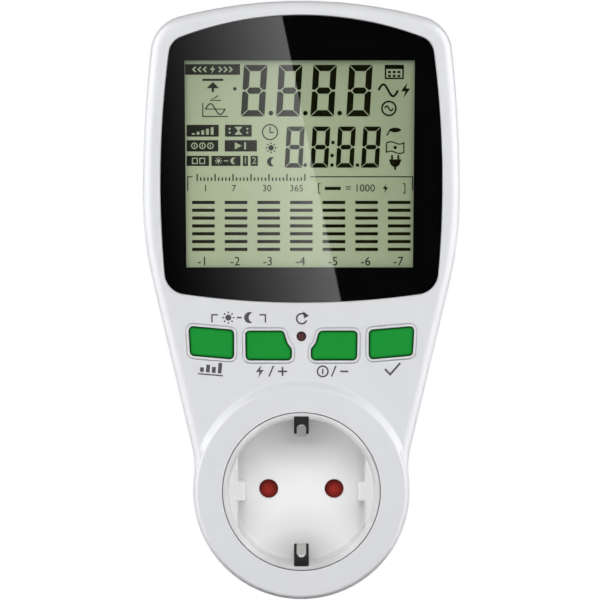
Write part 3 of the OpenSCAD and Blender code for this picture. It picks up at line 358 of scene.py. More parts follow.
def key_block(place, grow, stops):
    """Solid with the plan of a key grown by a distance."""
    return prism(lambda inset: key_outline(place, grow - inset), stops)


def on_both_sides(near, far):
    """The same stretch left and right of the middle, or under and over it."""
    return [sorted((side * near, side * far)) for side in (-1, 1)]


def quarter_round(steps):
    """Depth and inset of a round edge of radius one, from its side to its front."""
    turns = [math.radians(i * 90 / steps) for i in range(steps + 1)]
    return [(1 - math.sin(t), 1 - math.cos(t)) for t in turns]


def flare(y, r, out=1.5, steps=5):
    """Stops that widen a cut towards the front at a depth, so that its edge comes out round."""
    return [(y + r * down, -r * across) for down, across in quarter_round(steps)] + [(y - out, -r)]


def round_front(y, r, steps=5):
    """Stops that close a solid towards the front at a depth with a round edge."""
    return [(y + r * down, r * across) for down, across in quarter_round(steps)]


def back_to_front(stops):
    """The same stops for a rear face: depths mirrored about the wall plane."""
    return [(-y, inset) for y, inset in stops]


# Objects

def make_object(name, solid):
    """Mesh object from a solid in millimetres."""
    points, faces = solid
    mesh = bpy.data.meshes.new(name)
    mesh.from_pydata([(x * MM, y * MM, z * MM) for x, y, z in points], [], faces)
    work = bmesh.new()
    work.from_mesh(mesh)
    bmesh.ops.remove_doubles(work, verts=work.verts, dist=1e-8)
    bmesh.ops.recalc_face_normals(work, faces=work.faces)
    work.to_mesh(mesh)
    work.free()
    piece = bpy.data.objects.new(name, mesh)
    bpy.context.scene.collection.objects.link(piece)
    return piece


def combine(piece, solid, how):
    """Cuts a solid out of a piece, or fuses it to the piece."""
    tool = make_object("tool", solid)
    change = piece.modifiers.new("combine", "BOOLEAN")
    change.operation, change.solver, change.object = how, "EXACT", tool
    graph = bpy.context.evaluated_depsgraph_get()
    mesh = bpy.data.meshes.new_from_object(piece.evaluated_get(graph))
    if len(mesh.polygons) < 6:
        raise RuntimeError(f"{piece.name} came out empty")
    piece.modifiers.clear()
    old, piece.data = piece.data, mesh
    tool_mesh = tool.data
    bpy.data.objects.remove(tool)
    bpy.data.meshes.remove(tool_mesh)
    bpy.data.meshes.remove(old)


def cut(piece, *solids):
    combine(piece, joined(solids), "DIFFERENCE")


def fuse(piece, *solids):
    combine(piece, joined(solids), "UNION")


def finish_piece(piece, material, body, nodes=(), angle=32.0):
    """Smooth shading with sharp creases, a material, and a place in the frame."""
    mesh = piece.data
    mesh.materials.clear()
    mesh.materials.append(material)
    mesh.shade_smooth()
    mesh.set_sharp_from_angle(angle=math.radians(angle))
    even = piece.modifiers.new("even_normals", "WEIGHTED_NORMAL")
    even.keep_sharp, even.weight = True, 80
    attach(piece, body)
    if nodes:
        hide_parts(*nodes)
    return piece


# Materials

def new_group(name, inputs, outputs):
    group = bpy.data.node_groups.new(name, "ShaderNodeTree")
    for label, kind, default in inputs:
        socket = group.interface.new_socket(label, in_out="INPUT", socket_type=kind)
        socket.default_value = default
    for label, kind in outputs:
        group.interface.new_socket(label, in_out="OUTPUT", socket_type=kind)
    return group, group.nodes.new("NodeGroupInput"), group.nodes.new("NodeGroupOutput")


def add(tree, kind, values=(), **settings):
    """New node with some input values and settings."""
    node = tree.nodes.new(kind)
    for name, value in settings.items():
        setattr(node, name, value)
    for name, value in dict(values).items():
        node.inputs[name].default_value = value
    return node


def ramp(tree, source, low, high, start=0.0, end=1.0):
    """Value that runs from low to high while the source runs from start to end."""
    node = add(tree, "ShaderNodeMapRange",
               {"From Min": start, "From Max": end, "To Min": low, "To Max": high})
    tree.links.new(source, node.inputs["Value"])
    return node.outputs["Result"]


def grain_group():
    """Slow tint and gloss changes and a fine grain, for moulded and painted surfaces."""
    group = bpy.data.node_groups.get("surface_grain")
    if group:
        return group
    group, given, out = new_group(
        "surface_grain",
        (("Colour", "NodeSocketColor", (0.8, 0.8, 0.8, 1)), ("Gloss", "NodeSocketFloat", 0.4),
         ("Tint", "NodeSocketFloat", 0.02), ("Grain", "NodeSocketFloat", 2500.0)),
        (("Colour", "NodeSocketColor"), ("Roughness", "NodeSocketFloat"), ("Height", "NodeSocketFloat")))
    place = add(group, "ShaderNodeTexCoord")
    slow = add(group, "ShaderNodeTexNoise", {"Scale": 45.0, "Detail": 3.0})
    fine = add(group, "ShaderNodeTexNoise", {"Detail": 2.0})
    link = group.links.new
    link(place.outputs["Object"], slow.inputs["Vector"])
    link(place.outputs["Object"], fine.inputs["Vector"])
    link(given.outputs["Grain"], fine.inputs["Scale"])
    shade = add(group, "ShaderNodeMath", operation="MULTIPLY_ADD")
    shade.inputs[2].default_value = 1.0
    link(ramp(group, slow.outputs["Fac"], -1.0, 1.0), shade.inputs[0])
    link(given.outputs["Tint"], shade.inputs[1])
    tint = add(group, "ShaderNodeVectorMath", operation="SCALE")
    link(given.outputs["Colour"], tint.inputs[0])
    link(shade.outputs[0], tint.inputs["Scale"])
    link(tint.outputs[0], out.inputs["Colour"])
    gloss = add(group, "ShaderNodeMath", operation="ADD")
    link(given.outputs["Gloss"], gloss.inputs[0])
    link(ramp(group, slow.outputs["Fac"], -0.05, 0.05, 0.25, 0.75), gloss.inputs[1])
    link(gloss.outputs[0], out.inputs["Roughness"])
    link(fine.outputs["Fac"], out.inputs["Height"])
    return group


def brushed_group():
    """Fine draw lines along the depth, for pins, strips and screws."""
    group = bpy.data.node_groups.get("drawn_metal")
    if group:
        return group
    group, given, out = new_group(
        "drawn_metal",
        (("Colour", "NodeSocketColor", (0.6, 0.6, 0.6, 1)), ("Gloss", "NodeSocketFloat", 0.25)),
        (("Colour", "NodeSocketColor"), ("Roughness", "NodeSocketFloat"), ("Height", "NodeSocketFloat")))
    place = add(group, "ShaderNodeTexCoord")
    stretch = add(group, "ShaderNodeMapping", {"Scale": (1.0, 0.06, 1.0)})
    lines = add(group, "ShaderNodeTexNoise", {"Scale": 2600.0, "Detail": 3.0})
    link = group.links.new
    link(place.outputs["Object"], stretch.inputs["Vector"])
    link(stretch.outputs["Vector"], lines.inputs["Vector"])
    gloss = add(group, "ShaderNodeMath", operation="ADD")
    link(given.outputs["Gloss"], gloss.inputs[0])
    link(ramp(group, lines.outputs["Fac"], -0.08, 0.08, 0.3, 0.7), gloss.inputs[1])
    tint = add(group, "ShaderNodeVectorMath", operation="SCALE")
    link(given.outputs["Colour"], tint.inputs[0])
    link(ramp(group, lines.outputs["Fac"], 0.92, 1.05, 0.3, 0.7), tint.inputs["Scale"])
    link(tint.outputs[0], out.inputs["Colour"])
    link(gloss.outputs[0], out.inputs["Roughness"])
    link(lines.outputs["Fac"], out.inputs["Height"])
    return group


def surface(name, colour, gloss=0.4, tint=0.02, grain=2500.0, bump=0.02, metal=False, level=0.5):
    """Procedural material: grain for plastics and paint, draw lines for metals."""
    material = bpy.data.materials.get(f"{name}_finish")
    if material:
        return material
    material = bpy.data.materials.new(f"{name}_finish")
    material.use_nodes = True
    tree = material.node_tree
    shader = tree.nodes["Principled BSDF"]
    shader.inputs["Metallic"].default_value = 1.0 if metal else 0.0
    shader.inputs["Specular IOR Level"].default_value = level
    group = add(tree, "ShaderNodeGroup", node_tree=brushed_group() if metal else grain_group())
    group.inputs["Colour"].default_value = (*colour, 1.0)
    group.inputs["Gloss"].default_value = gloss
    if not metal:
        group.inputs["Tint"].default_value = tint
        group.inputs["Grain"].default_value = grain
    link = tree.links.new
    link(group.outputs["Colour"], shader.inputs["Base Color"])
    link(group.outputs["Roughness"], shader.inputs["Roughness"])
    if bump:
        relief = add(tree, "ShaderNodeBump", {"Strength": bump, "Distance": 0.0001})
        link(group.outputs["Height"], relief.inputs["Height"])
        link(relief.outputs["Normal"], shader.inputs["Normal"])
    return material


def lens_material():
    """Clear plastic that lets the lamps through."""
    material = bpy.data.materials.new("clear_lens_finish")
    material.use_nodes = True
    tree = material.node_tree
    shader, out = tree.nodes["Principled BSDF"], tree.nodes["Material Output"]
    shader.inputs["Base Color"].default_value = (0.985, 0.99, 0.985, 1.0)
    shader.inputs["Transmission Weight"].default_value = 1.0
    shader.inputs["IOR"].default_value = 1.49
    place = add(tree, "ShaderNodeTexCoord")
    smear = add(tree, "ShaderNodeTexNoise", {"Scale": 60.0, "Detail": 4.0})
    clear = add(tree, "ShaderNodeBsdfTransparent")
    rays, mix = add(tree, "ShaderNodeLightPath"), add(tree, "ShaderNodeMixShader")
    link = tree.links.new
    link(place.outputs["Object"], smear.inputs["Vector"])
    link(ramp(tree, smear.outputs["Fac"], 0.0, 0.02, 0.4, 0.7), shader.inputs["Roughness"])
    link(rays.outputs["Is Shadow Ray"], mix.inputs["Fac"])
    link(shader.outputs["BSDF"], mix.inputs[1])
    link(clear.outputs["BSDF"], mix.inputs[2])
    link(mix.outputs["Shader"], out.inputs["Surface"])
    return material


# Flat marks, drawn across and up

class Marks:
    """Collects flat shapes for one sheet of print or display segments."""

    def __init__(self, y_front, y_back, across=0.0):
        self.y_front, self.y_back, self.across, self.solids = y_front, y_back, across, []

    def poly(self, points):
        flat = [Vector(p) for p in points]
        self.solids.append(lofted([[(p.x, y, p.y) for p in flat] for y in (self.y_front, self.y_back)]))

    def ring(self, outer, inner):
        self.solids.append(hollow_prism(outer, inner, self.y_front, self.y_back))

    def box(self, x0, z0, x1, z1, r=0.0):
        self.poly(rectangle(x0, z0, x1, z1, r))

    def disc(self, c, r):
        self.poly(circle(c, r, 20))

    def hoop(self, c, r, w):
        self.ring(circle(c, r + w / 2, 40), circle(c, r - w / 2, 40))

    def frame(self, x0, z0, x1, z1, w):
        self.ring(rectangle(x0, z0, x1, z1), rectangle(x0 + w, z0 + w, x1 - w, z1 - w))

    def line(self, points, w):
        """Open line of even width with mitred bends."""
        path = [Vector(p) for p in points]
        left, right = [], []
        for i, p in enumerate(path):
            a = (p - path[i - 1]).normalized() if i else (path[1] - p).normalized()
            b = (path[i + 1] - p).normalized() if i + 1 < len(path) else a
            side = Vector((-a.y - b.y, a.x + b.x))
            side *= w / max(side.length_squared, 0.5)
            left.append(p + side)
            right.append(p - side)
        self.poly(left + right[::-1])

    def seven(self, x, z, w, h, t, lean=0.0594, gap=0.16):
        """All seven bars of a digit, from its lower left corner."""
        def put(points):
            self.poly([(x + px + pz * lean, z + pz) for px, pz in points])
        m, g, lo = h / 2, gap, t / 2
        point, slant, notch = t * 0.62, t * 0.45, 0.25
        for foot, tip in ((0.0, 1.0), (h, -1.0)):
            inner = foot + tip * t
            put([(g, foot), (w - g, foot), (w - t - g, inner), (t + g, inner)][::int(tip)])
        put([(point + g, m), (t + g, m + lo), (w - t - g, m + lo),
             (w - point - g, m), (w - t - g, m - lo), (t + g, m - lo)])
        for side in (0, 1):
            for foot, tip in ((0.0, 1.0), (h, -1.0)):
                bar = [(0.0, foot + tip * g), (t, foot + tip * (t + g)), (t, m - tip * (lo + g)),
                       (slant, m - tip * g), (0.0, m - tip * (g + notch))]
                if side:
                    bar = [(w - px, pz) for px, pz in bar][::-1]
                put(bar[::int(tip)])

    def number(self, text, x, z, h):
        """Plain numerals, centred on a place."""
        size_per_height = 1.42
        curve = bpy.data.curves.new("numeral", "FONT")
        curve.body, curve.size, curve.resolution_u = text, h * size_per_height, 3
        curve.align_x, curve.align_y = "CENTER", "CENTER"
        holder = bpy.data.objects.new("numeral", curve)
        bpy.context.scene.collection.objects.link(holder)
        graph = bpy.context.evaluated_depsgraph_get()
        mesh = bpy.data.meshes.new_from_object(holder.evaluated_get(graph))
        work = bmesh.new()
        work.from_mesh(mesh)
        bmesh.ops.remove_doubles(work, verts=work.verts, dist=1e-5)
        bmesh.ops.solidify(work, geom=work.faces[:], thickness=self.y_back - self.y_front)
        work.verts.index_update()
        low = min(v.co.z for v in work.verts)
        points = [(x + v.co.x, self.y_front + v.co.z - low, z + v.co.y) for v in work.verts]
        self.solids.append((points, [tuple(v.index for v in f.verts) for f in work.faces]))
        work.free()
        bpy.data.objects.remove(holder)
        bpy.data.curves.remove(curve)
        bpy.data.meshes.remove(mesh)

    def make(self, name, material, slot):
        points, faces = joined(self.solids)
        piece = make_object(name, ([(x + self.across, y, z) for x, y, z in points], faces))
        return finish_piece(piece, material, "body", angle=20.0)


def bolt(c, h):
    """Lightning flash."""
    shape = ((0.12, 0.5), (-0.3, -0.06), (-0.02, -0.06), (-0.14, -0.5), (0.3, 0.12), (0.02, 0.12))
    return [Vector(c) + h * Vector(p) for p in shape]


def moon(c, r):
    """Crescent."""
    outer = arc(c, r, 60, 300, 20)
    mid = Vector(c) + Vector((r * 0.72, 0))
    reach = (outer[0] - mid).length
    a0, a1 = bearing(outer[-1] - mid), bearing(outer[0] - mid)
    return outer + arc(mid, reach, a0 % 360, a1 % 360, 14)[1:-1]


def sun(marks, c, r, w):
    """Disc with eight rays."""
    marks.disc(c, r * 0.5)
    for k in range(8):
        marks.line([Vector(c) + r * 0.7 * heading(45 * k), Vector(c) + r * heading(45 * k)], w)


def wave(c, w, h, n=24):
    """One full wave about a point."""
    return [Vector(c) + Vector((w * (i / n - 0.5), h / 2 * math.sin(2 * math.pi * i / n)))
            for i in range(n + 1)]


# Operators

class METER_OT_stage(bpy.types.Operator):
    """Make the camera, the floor, the lamps and the card that the lens mirrors"""
    bl_idname = "meter.stage"
    bl_label = "Stage"

    def execute(self, context):
        scene, stage = context.scene, context.scene.meter_stage
        scene.view_settings.view_transform = "Standard"
        camera = bpy.data.cameras.new("camera")
        camera.lens = camera.sensor_width * stage.distance / stage.field
        holder = bpy.data.objects.new("camera", camera)
        holder.location = (stage.across, DISC * MM - stage.distance, stage.height)
        holder.rotation_euler = (math.pi / 2, 0, 0)
        camera.clip_start, camera.clip_end = 0.05, 50.0
        scene.collection.objects.link(holder)
        scene.camera = holder
        self.light(scene, stage)
        self.floor(stage)
        self.card(stage)
        self.dark_cards(stage)
        return {"FINISHED"}

    def light(self, scene, stage):
        """White background, soft light from all round, and the lamps."""
        world = bpy.data.worlds.new("studio")
        world.use_nodes = True
        scene.world = world
        tree = world.node_tree
        soft, out = tree.nodes["Background"], tree.nodes["World Output"]
        soft.inputs["Color"].default_value = (0.97, 0.98, 1.0, 1.0)
        soft.inputs["Strength"].default_value = stage.ambient
        white = add(tree, "ShaderNodeBackground", {"Color": (1.0, 1.0, 1.0, 1.0), "Strength": 1.0})
        mix = add(tree, "ShaderNodeMixShader")
        tree.links.new(shown_rays(tree), mix.inputs["Fac"])
        tree.links.new(soft.outputs[0], mix.inputs[1])
        tree.links.new(white.outputs[0], mix.inputs[2])
        tree.links.new(mix.outputs[0], out.inputs["Surface"])
        self.lamp("key_lamp", (0.0, -1.2, 0.72), (1.6, 0.8), stage.key_power, "glossy")
        for kind, (x, y, z), size, power, hidden in (
                ("lamp", (0.85, 0.25, 0.1), (0.6, 0.6), stage.side_power, "glossy"),
                ("back_lamp", (0.45, 1.0, 0.2), (0.6, 0.6), stage.back_power, "glossy"),
                ("panel", (0.75, -0.22, 0.1), (0.95, 1.9), stage.gloss_power, "diffuse")):
            self.lamp(f"left_{kind}", (-x, y, z), size, power, hidden)
            self.lamp(f"right_{kind}", (x, y, z), size, power, hidden)

    def lamp(self, name, place, size, power, hidden):
        """Oblong lamp that faces the object and is left out for one kind of ray."""
        aim = Vector((0, 0, 0.05))
        lamp = bpy.data.lights.new(name, "AREA")
        lamp.shape, lamp.energy = "RECTANGLE", power
        lamp.size, lamp.size_y = size
        holder = bpy.data.objects.new(name, lamp)
        holder.location = place
        holder.rotation_euler = (aim - Vector(place)).to_track_quat("-Z", "Y").to_euler()
        setattr(holder, f"visible_{hidden}", False)
        holder.visible_transmission = False
        bpy.context.scene.collection.objects.link(holder)

    def floor(self, stage):
        """Pale floor that runs out into white and throws little light on the underside of the object."""
        squares, half, pale = 8, 3.0, 0.87
        shade_from, shade_to, white_from, white_to = 0.11, 0.135, 0.2, 0.5
        row = squares + 1
        steps = [half * (2 * i / squares - 1) for i in range(row)]
        mesh = bpy.data.meshes.new("floor")
        mesh.from_pydata([(x, y, stage.floor) for y in steps for x in steps], [],
                         [(j * row + i, j * row + i + 1, (j + 1) * row + i + 1, (j + 1) * row + i)
                          for j in range(squares) for i in range(squares)])
        floor = bpy.data.objects.new("floor", mesh)
        bpy.context.scene.collection.objects.link(floor)
        material = bpy.data.materials.new("pale_floor")
        material.use_nodes = True
        tree = material.node_tree
        shader, out = tree.nodes["Principled BSDF"], tree.nodes["Material Output"]
        shader.inputs["Roughness"].default_value = 0.8
        white, mix = add(tree, "ShaderNodeEmission", {"Strength": 1.0}), add(tree, "ShaderNodeMixShader")
        place, rays = add(tree, "ShaderNodeTexCoord"), add(tree, "ShaderNodeLightPath")
        far = add(tree, "ShaderNodeVectorMath", operation="LENGTH")
        under = add(tree, "ShaderNodeMath", operation="MULTIPLY")
        both = add(tree, "ShaderNodeMath", operation="MULTIPLY")
        link = tree.links.new
        link(place.outputs["Object"], far.inputs[0])
        reach = far.outputs["Value"]
        link(ramp(tree, reach, 1.0, 0.0, shade_from, shade_to), under.inputs[0])
        link(rays.outputs["Is Diffuse Ray"], under.inputs[1])
        link(ramp(tree, under.outputs[0], pale, 0.0), shader.inputs["Base Color"])
        link(ramp(tree, reach, 0.0, 1.0, white_from, white_to), both.inputs[0])
        link(shown_rays(tree), both.inputs[1])
        link(both.outputs[0], mix.inputs["Fac"])
        link(shader.outputs[0], mix.inputs[1])
        link(white.outputs[0], mix.inputs[2])
        link(mix.outputs[0], out.inputs["Surface"])
        mesh.materials.append(material)
        floor.visible_glossy = False

    def mirrored(self, name, points):
        """Flat card that is seen only as a mirror image in gloss, and the tree of its glow."""
        mesh = bpy.data.meshes.new(name)
        mesh.from_pydata(points, [], [(0, 1, 2, 3)])
        card = bpy.data.objects.new(name, mesh)
        bpy.context.scene.collection.objects.link(card)
        for kind in ("camera", "diffuse", "shadow", "volume_scatter"):
            setattr(card, f"visible_{kind}", False)
        material = bpy.data.materials.new(name)
        material.use_nodes = True
        tree = material.node_tree
        tree.nodes.remove(tree.nodes["Principled BSDF"])
        glow = add(tree, "ShaderNodeEmission", {"Strength": 0.0})
        tree.links.new(glow.outputs[0], tree.nodes["Material Output"].inputs["Surface"])
        mesh.materials.append(material)
        return tree, glow

    def dark_cards(self, stage):
        """Black cards under the object and behind its head, for dark edges."""
        half, z = 0.12, stage.floor
        self.mirrored("foot_card", [(-half, -half, z), (half, -half, z), (half, half, z), (-half, half, z)])
        self.mirrored("head_card", self.upright(0.3, 0.12, 0.145, 0.6))

    def upright(self, half, y, low, high):
        """Corners of an upright card."""
        return [(-half, y, low), (half, y, low), (half, y, high), (-half, y, high)]

    def card(self, stage):
        """Dark card behind the camera with a bright slanted edge that fades out to its left."""
        tree, glow = self.mirrored("card", self.upright(0.25, -1.25, -0.1, 0.4))
        low, high = Vector((0.0238, 0.0536)), Vector((-0.011, 0.222))
        width, blur, curve = 0.1, 0.0004, 2.1
        place = add(tree, "ShaderNodeTexCoord")
        side = add(tree, "ShaderNodeVectorMath", operation="DOT_PRODUCT")
        out = Vector((low.y - high.y, high.x - low.x)).normalized()
        side.inputs[1].default_value = (out.x, 0.0, out.y)
        start = low.dot(out)
        edge = add(tree, "ShaderNodeMath", operation="MULTIPLY")
        fall = add(tree, "ShaderNodeMath", {1: curve}, operation="POWER")
        link = tree.links.new
        link(place.outputs["Object"], side.inputs[0])
        reach = side.outputs["Value"]
        link(ramp(tree, reach, 1.0, 0.0, start, start + width), fall.inputs[0])
        link(fall.outputs[0], edge.inputs[0])
        link(ramp(tree, reach, 0.0, stage.card, start - blur, start + blur), edge.inputs[1])
        link(edge.outputs[0], glow.inputs["Strength"])


def shown_rays(tree):
    """One for rays that show the background: straight to the camera, mirrored, or through glass."""
    rays = add(tree, "ShaderNodeLightPath")
    shown = rays.outputs["Is Camera Ray"]
    for kind in ("Is Glossy Ray", "Is Transmission Ray"):
        either = add(tree, "ShaderNodeMath", operation="MAXIMUM")
        tree.links.new(shown, either.inputs[0])
        tree.links.new(rays.outputs[kind], either.inputs[1])
        shown = either.outputs[0]
    return shown


def shell_material():
    white = bpy.context.scene.meter_colours.shell
    return surface("white_shell", white, gloss=0.34, tint=0.006, grain=3500.0, bump=0.012)


def paint_light_and_shade(material, along, near, far, centre=(0.0, 0.0, 0.0), twins=False):
    """Paints light and shade into the colour: scales it by the distance from a point, measured along some
    axes.

    Near and far are (distance in mm, factor). Twins measure from the point's mirror images as well.
    """
    tree = material.node_tree
    colour = tree.nodes["Principled BSDF"].inputs["Base Color"]
    plain = colour.links[0].from_socket
    shift = add(tree, "ShaderNodeVectorMath", {1: Vector(centre) * MM}, operation="SUBTRACT")
    way = add(tree, "ShaderNodeVectorMath", {1: along}, operation="MULTIPLY")
    reach = add(tree, "ShaderNodeVectorMath", operation="LENGTH")
    tone = add(tree, "ShaderNodeVectorMath", operation="SCALE")
    link = tree.links.new
    spot = add(tree, "ShaderNodeTexCoord").outputs["Object"]
    if twins:
        fold = add(tree, "ShaderNodeVectorMath", operation="ABSOLUTE")
        link(spot, fold.inputs[0])
        spot = fold.outputs[0]
    link(spot, shift.inputs[0])
    link(shift.outputs[0], way.inputs[0])
    link(way.outputs[0], reach.inputs[0])
    link(plain, tone.inputs[0])
    scale = ramp(tree, reach.outputs["Value"], near[1], far[1], near[0] * MM, far[0] * MM)
    link(scale, tone.inputs["Scale"])
    link(tone.outputs[0], colour)
    return material


def socket_material():
    """White plastic with painted shade: darker on the floor, round the slots, at the mouth and on the
    flats.
    """
    white = bpy.context.scene.meter_colours.socket
    material = surface("white_socket", white, gloss=0.5, tint=0.008, grain=3000.0, bump=0.015, level=0.3)
    # painted shade: darker round both earth slots
    paint_light_and_shade(material, (1.0, 0.0, 1.0), (4.0, 0.89), (13.0, 1.03), (0.0, 0.0, 17.0), twins=True)
    # painted shade: darker beside the lower slot, near the wall
    paint_light_and_shade(material, (0.55, 0.0, 1.0), (3.5, 0.84), (9.0, 1.0), (0.0, 0.0, -20.5))
    # painted shade: a little darker on the floor
    paint_light_and_shade(material, (0.0, 1.0, 0.0), (-FLOOR + 0.5, 0.96), (-FLOOR + 4.0, 1.0))
    # painted shade: darker on the flats and ribs
    paint_light_and_shade(material, (1.0, 0.0, 0.0), (15.5, 1.0), (17.5, 0.9))
    # painted shade: darker towards the mouth
    return paint_light_and_shade(material, (0.0, 1.0, 0.0), (-DISC - 2.5, 1.0), (-DISC, 0.8))


class METER_OT_front_housing(bpy.types.Operator):
    """Make the front housing with its disc, lens recess, key rims and openings"""
    bl_idname = "meter.front_housing"
    bl_label = "Front housing"

    def execute(self, context):
        shapes = context.scene.meter_shapes
        edge, small, seam, disc_edge = (v / MM for v in (shapes.front_edge, shapes.small_edge, shapes.seam,
                                                         shapes.disc_edge))
        lens_edge, cup_edge, key_edge, rim_edge = 0.1, 0.12, 0.15, 0.2
        sunk, margin, overlap = 0.6, 1.0, 0.02
        inside, root, rim, places = LEDGE + PAST, LEDGE - sunk, KEY_GAP + RIM_W, range(len(KEYS))
        skin = [(PART, seam - DRAFT), (PART - seam, -DRAFT)] + round_front(FACE, edge, 12)
        piece = make_object("front_shell", prism(body_outline, skin))
        brim = arc((DISC_R - disc_edge, DISC + disc_edge), disc_edge, 0, -90, 12)
        fuse(piece, turned([(0.0, root), (DISC_R, root)] + brim + [(0.0, DISC)], DISC_SIDES))
        fuse(piece, self.flank(disc_edge))
        ridge = [(FACE + PAST, 0.0)] + round_front(FACE - RIM_H, rim_edge)
        fuse(piece, *(key_block(k, rim, ridge) for k in places))
        cut(piece, prism(body_outline, [(PART + 2 * PAST, WALL), (LEDGE, WALL)]))
        opening = [(inside, 0.0)] + flare(FACE - RIM_H, key_edge)
        cut(piece,
            prism(lambda inset: lens_outline(inset - LENS_GAP), [(SEAT, 0.0)] + flare(FACE, lens_edge)),
            bore((0, RESET_Z), RESET_R, [(inside, 0.0)] + flare(FACE, small), n=40),
            bore((0, 0), CUP_R + CUP_GAP, [(inside, 0.0)] + flare(DISC, cup_edge), DISC_SIDES),
            *(key_block(k, KEY_GAP, opening) for k in places))
        cut(piece, prism(view_outline, [(inside, -margin), (SEAT - PAST, -margin)]))
        cut(piece, *(hollow_prism(key_outline(k, rim + GROOVE), key_outline(k, rim - overlap),
                                  FACE + 2 * GROOVE, FACE - 2 * PAST) for k in places))
        finish_piece(piece, shell_material(), "body", ("front_housing",))
        return {"FINISHED"}

    def flank(self, edge):
        """Slope that eases the disc into the flat of the head, thinning out towards the neck."""
        slope, hollow, sunk, first, last, taper, steps = 47.0, 0.8, 0.4, 16.0, 164.0, 9.0, 130
        middle = Vector((DISC_R - edge, DISC + edge))
        top = middle + edge * heading(slope - 90)
        run = (FACE - top.y - hollow * (1 - math.cos(math.radians(slope)))) / math.tan(math.radians(slope))
        foot = Vector((top.x + run + hollow * math.sin(math.radians(slope)), FACE - hollow))
        curve = [top] + arc(foot, hollow, 90 + slope, 90, 8)
        rings = []
        for i in range(steps + 1):
            a = first + (last - first) * i / steps
            grow = min(1.0, (a - first) / taper, (last - a) / taper)
            grow *= grow * (3 - 2 * grow)
            section = [(top.x + (p.x - top.x) * grow, p.y) for p in curve]
            inner = top.x - sunk
            section = [(inner, LEDGE), (inner, top.y)] + section + [(section[-1][0], LEDGE)]
            out = heading(a)
            rings.append([(out.x * d, y, out.y * d) for d, y in section])
        return lofted(rings)


def view_outline(inset):
    """Window of the mask, a little left of the middle."""
    top, foot = VIEW_HALF - inset, VIEW_HALF - VIEW_TAPER - inset
    return [Vector((VIEW_X + x, z)) for x, z in ((foot, VIEW_FOOT + inset), (top, VIEW_TOP - inset),
                                                 (-top, VIEW_TOP - inset), (-foot, VIEW_FOOT + inset))]


class METER_OT_rear_housing(bpy.types.Operator):
    """Make the rear housing with its screw wells and the opening for the plug"""
    bl_idname = "meter.rear_housing"
    bl_label = "Rear housing"

    def execute(self, context):
        shapes = context.scene.meter_shapes
        edge, small, seam = shapes.rear_edge / MM, shapes.small_edge / MM, shapes.seam / MM
        skin = [(PART, seam - DRAFT), (PART + seam, -DRAFT)] + back_to_front(round_front(0.0, edge, 10))
        piece = make_object("rear_shell", prism(body_outline, skin))
        cut(piece, prism(body_outline, [(PART - 2 * PAST, WALL), (REAR, WALL)]))
        tower = [(-WELL_D - WALL, 0.0), (REAR + PAST, 0.0)]
        fuse(piece, *(bore(c, TOWER_R, tower) for c in WELLS))
        mouth = back_to_front(flare(0.0, small))
        cut(piece,
            bore((0, 0), PLUG_R + PLUG_GAP, [(REAR - 2 * PAST, 0.0)] + mouth, PLUG_SIDES),
            *(bore(c, WELL_R, [(-WELL_D, 0.0)] + mouth) for c in WELLS))
        finish_piece(piece, shell_material(), "body", ("rear_housing",))
        return {"FINISHED"}


class METER_OT_lens(bpy.types.Operator):
    """Make the clear lens and finish the mask and the display behind it"""
    bl_idname = "meter.lens"
    bl_label = "Lens and display"

    def execute(self, context):
        colours = context.scene.meter_colours
        lens_back, lens_edge, film_front, film_inset = FACE + 1.48, 0.12, FACE + 1.5, 0.02
        piece = make_object("lens", prism(lens_outline, [(lens_back, 0.0)] + round_front(FACE, lens_edge)))
        finish_piece(piece, lens_material(), "body", ("display_lens",))
        film = make_object("mask_film", prism(lens_outline, [(SEAT, film_inset), (film_front, film_inset)]))
        cut(film, prism(view_outline, [(SEAT + 2 * PAST, 0.0), (FACE, 0.0)]))
        black = surface("black_film", (0.0024, 0.0024, 0.0026), gloss=0.6, tint=0.2, bump=0.0, level=0.0)
        finish_piece(film, black, "body", ("lens_mask",))
        foam = surface("grey_foam", (0.03, 0.03, 0.032), gloss=0.9, tint=0.1, grain=1800.0, bump=0.3)
        dress("display_gasket", foam)
        green = surface("display_green", colours.display, gloss=0.12, tint=0.025, grain=900.0, bump=0.0,
                        level=0.9)
        # painted light and shade: the display is lighter towards its lower left and darker towards its
        # upper right
        dress("display_glass", paint_light_and_shade(green, (1.0, 0.0, 1.0), (20.0, 1.28), (56.0, 0.95), (-18.0, 0.0, 78.0)))
        return {"FINISHED"}


def dress(node, material):
    """Gives a CAD node its material."""
    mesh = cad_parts[node].data
    mesh.materials.clear()
    mesh.materials.append(material)


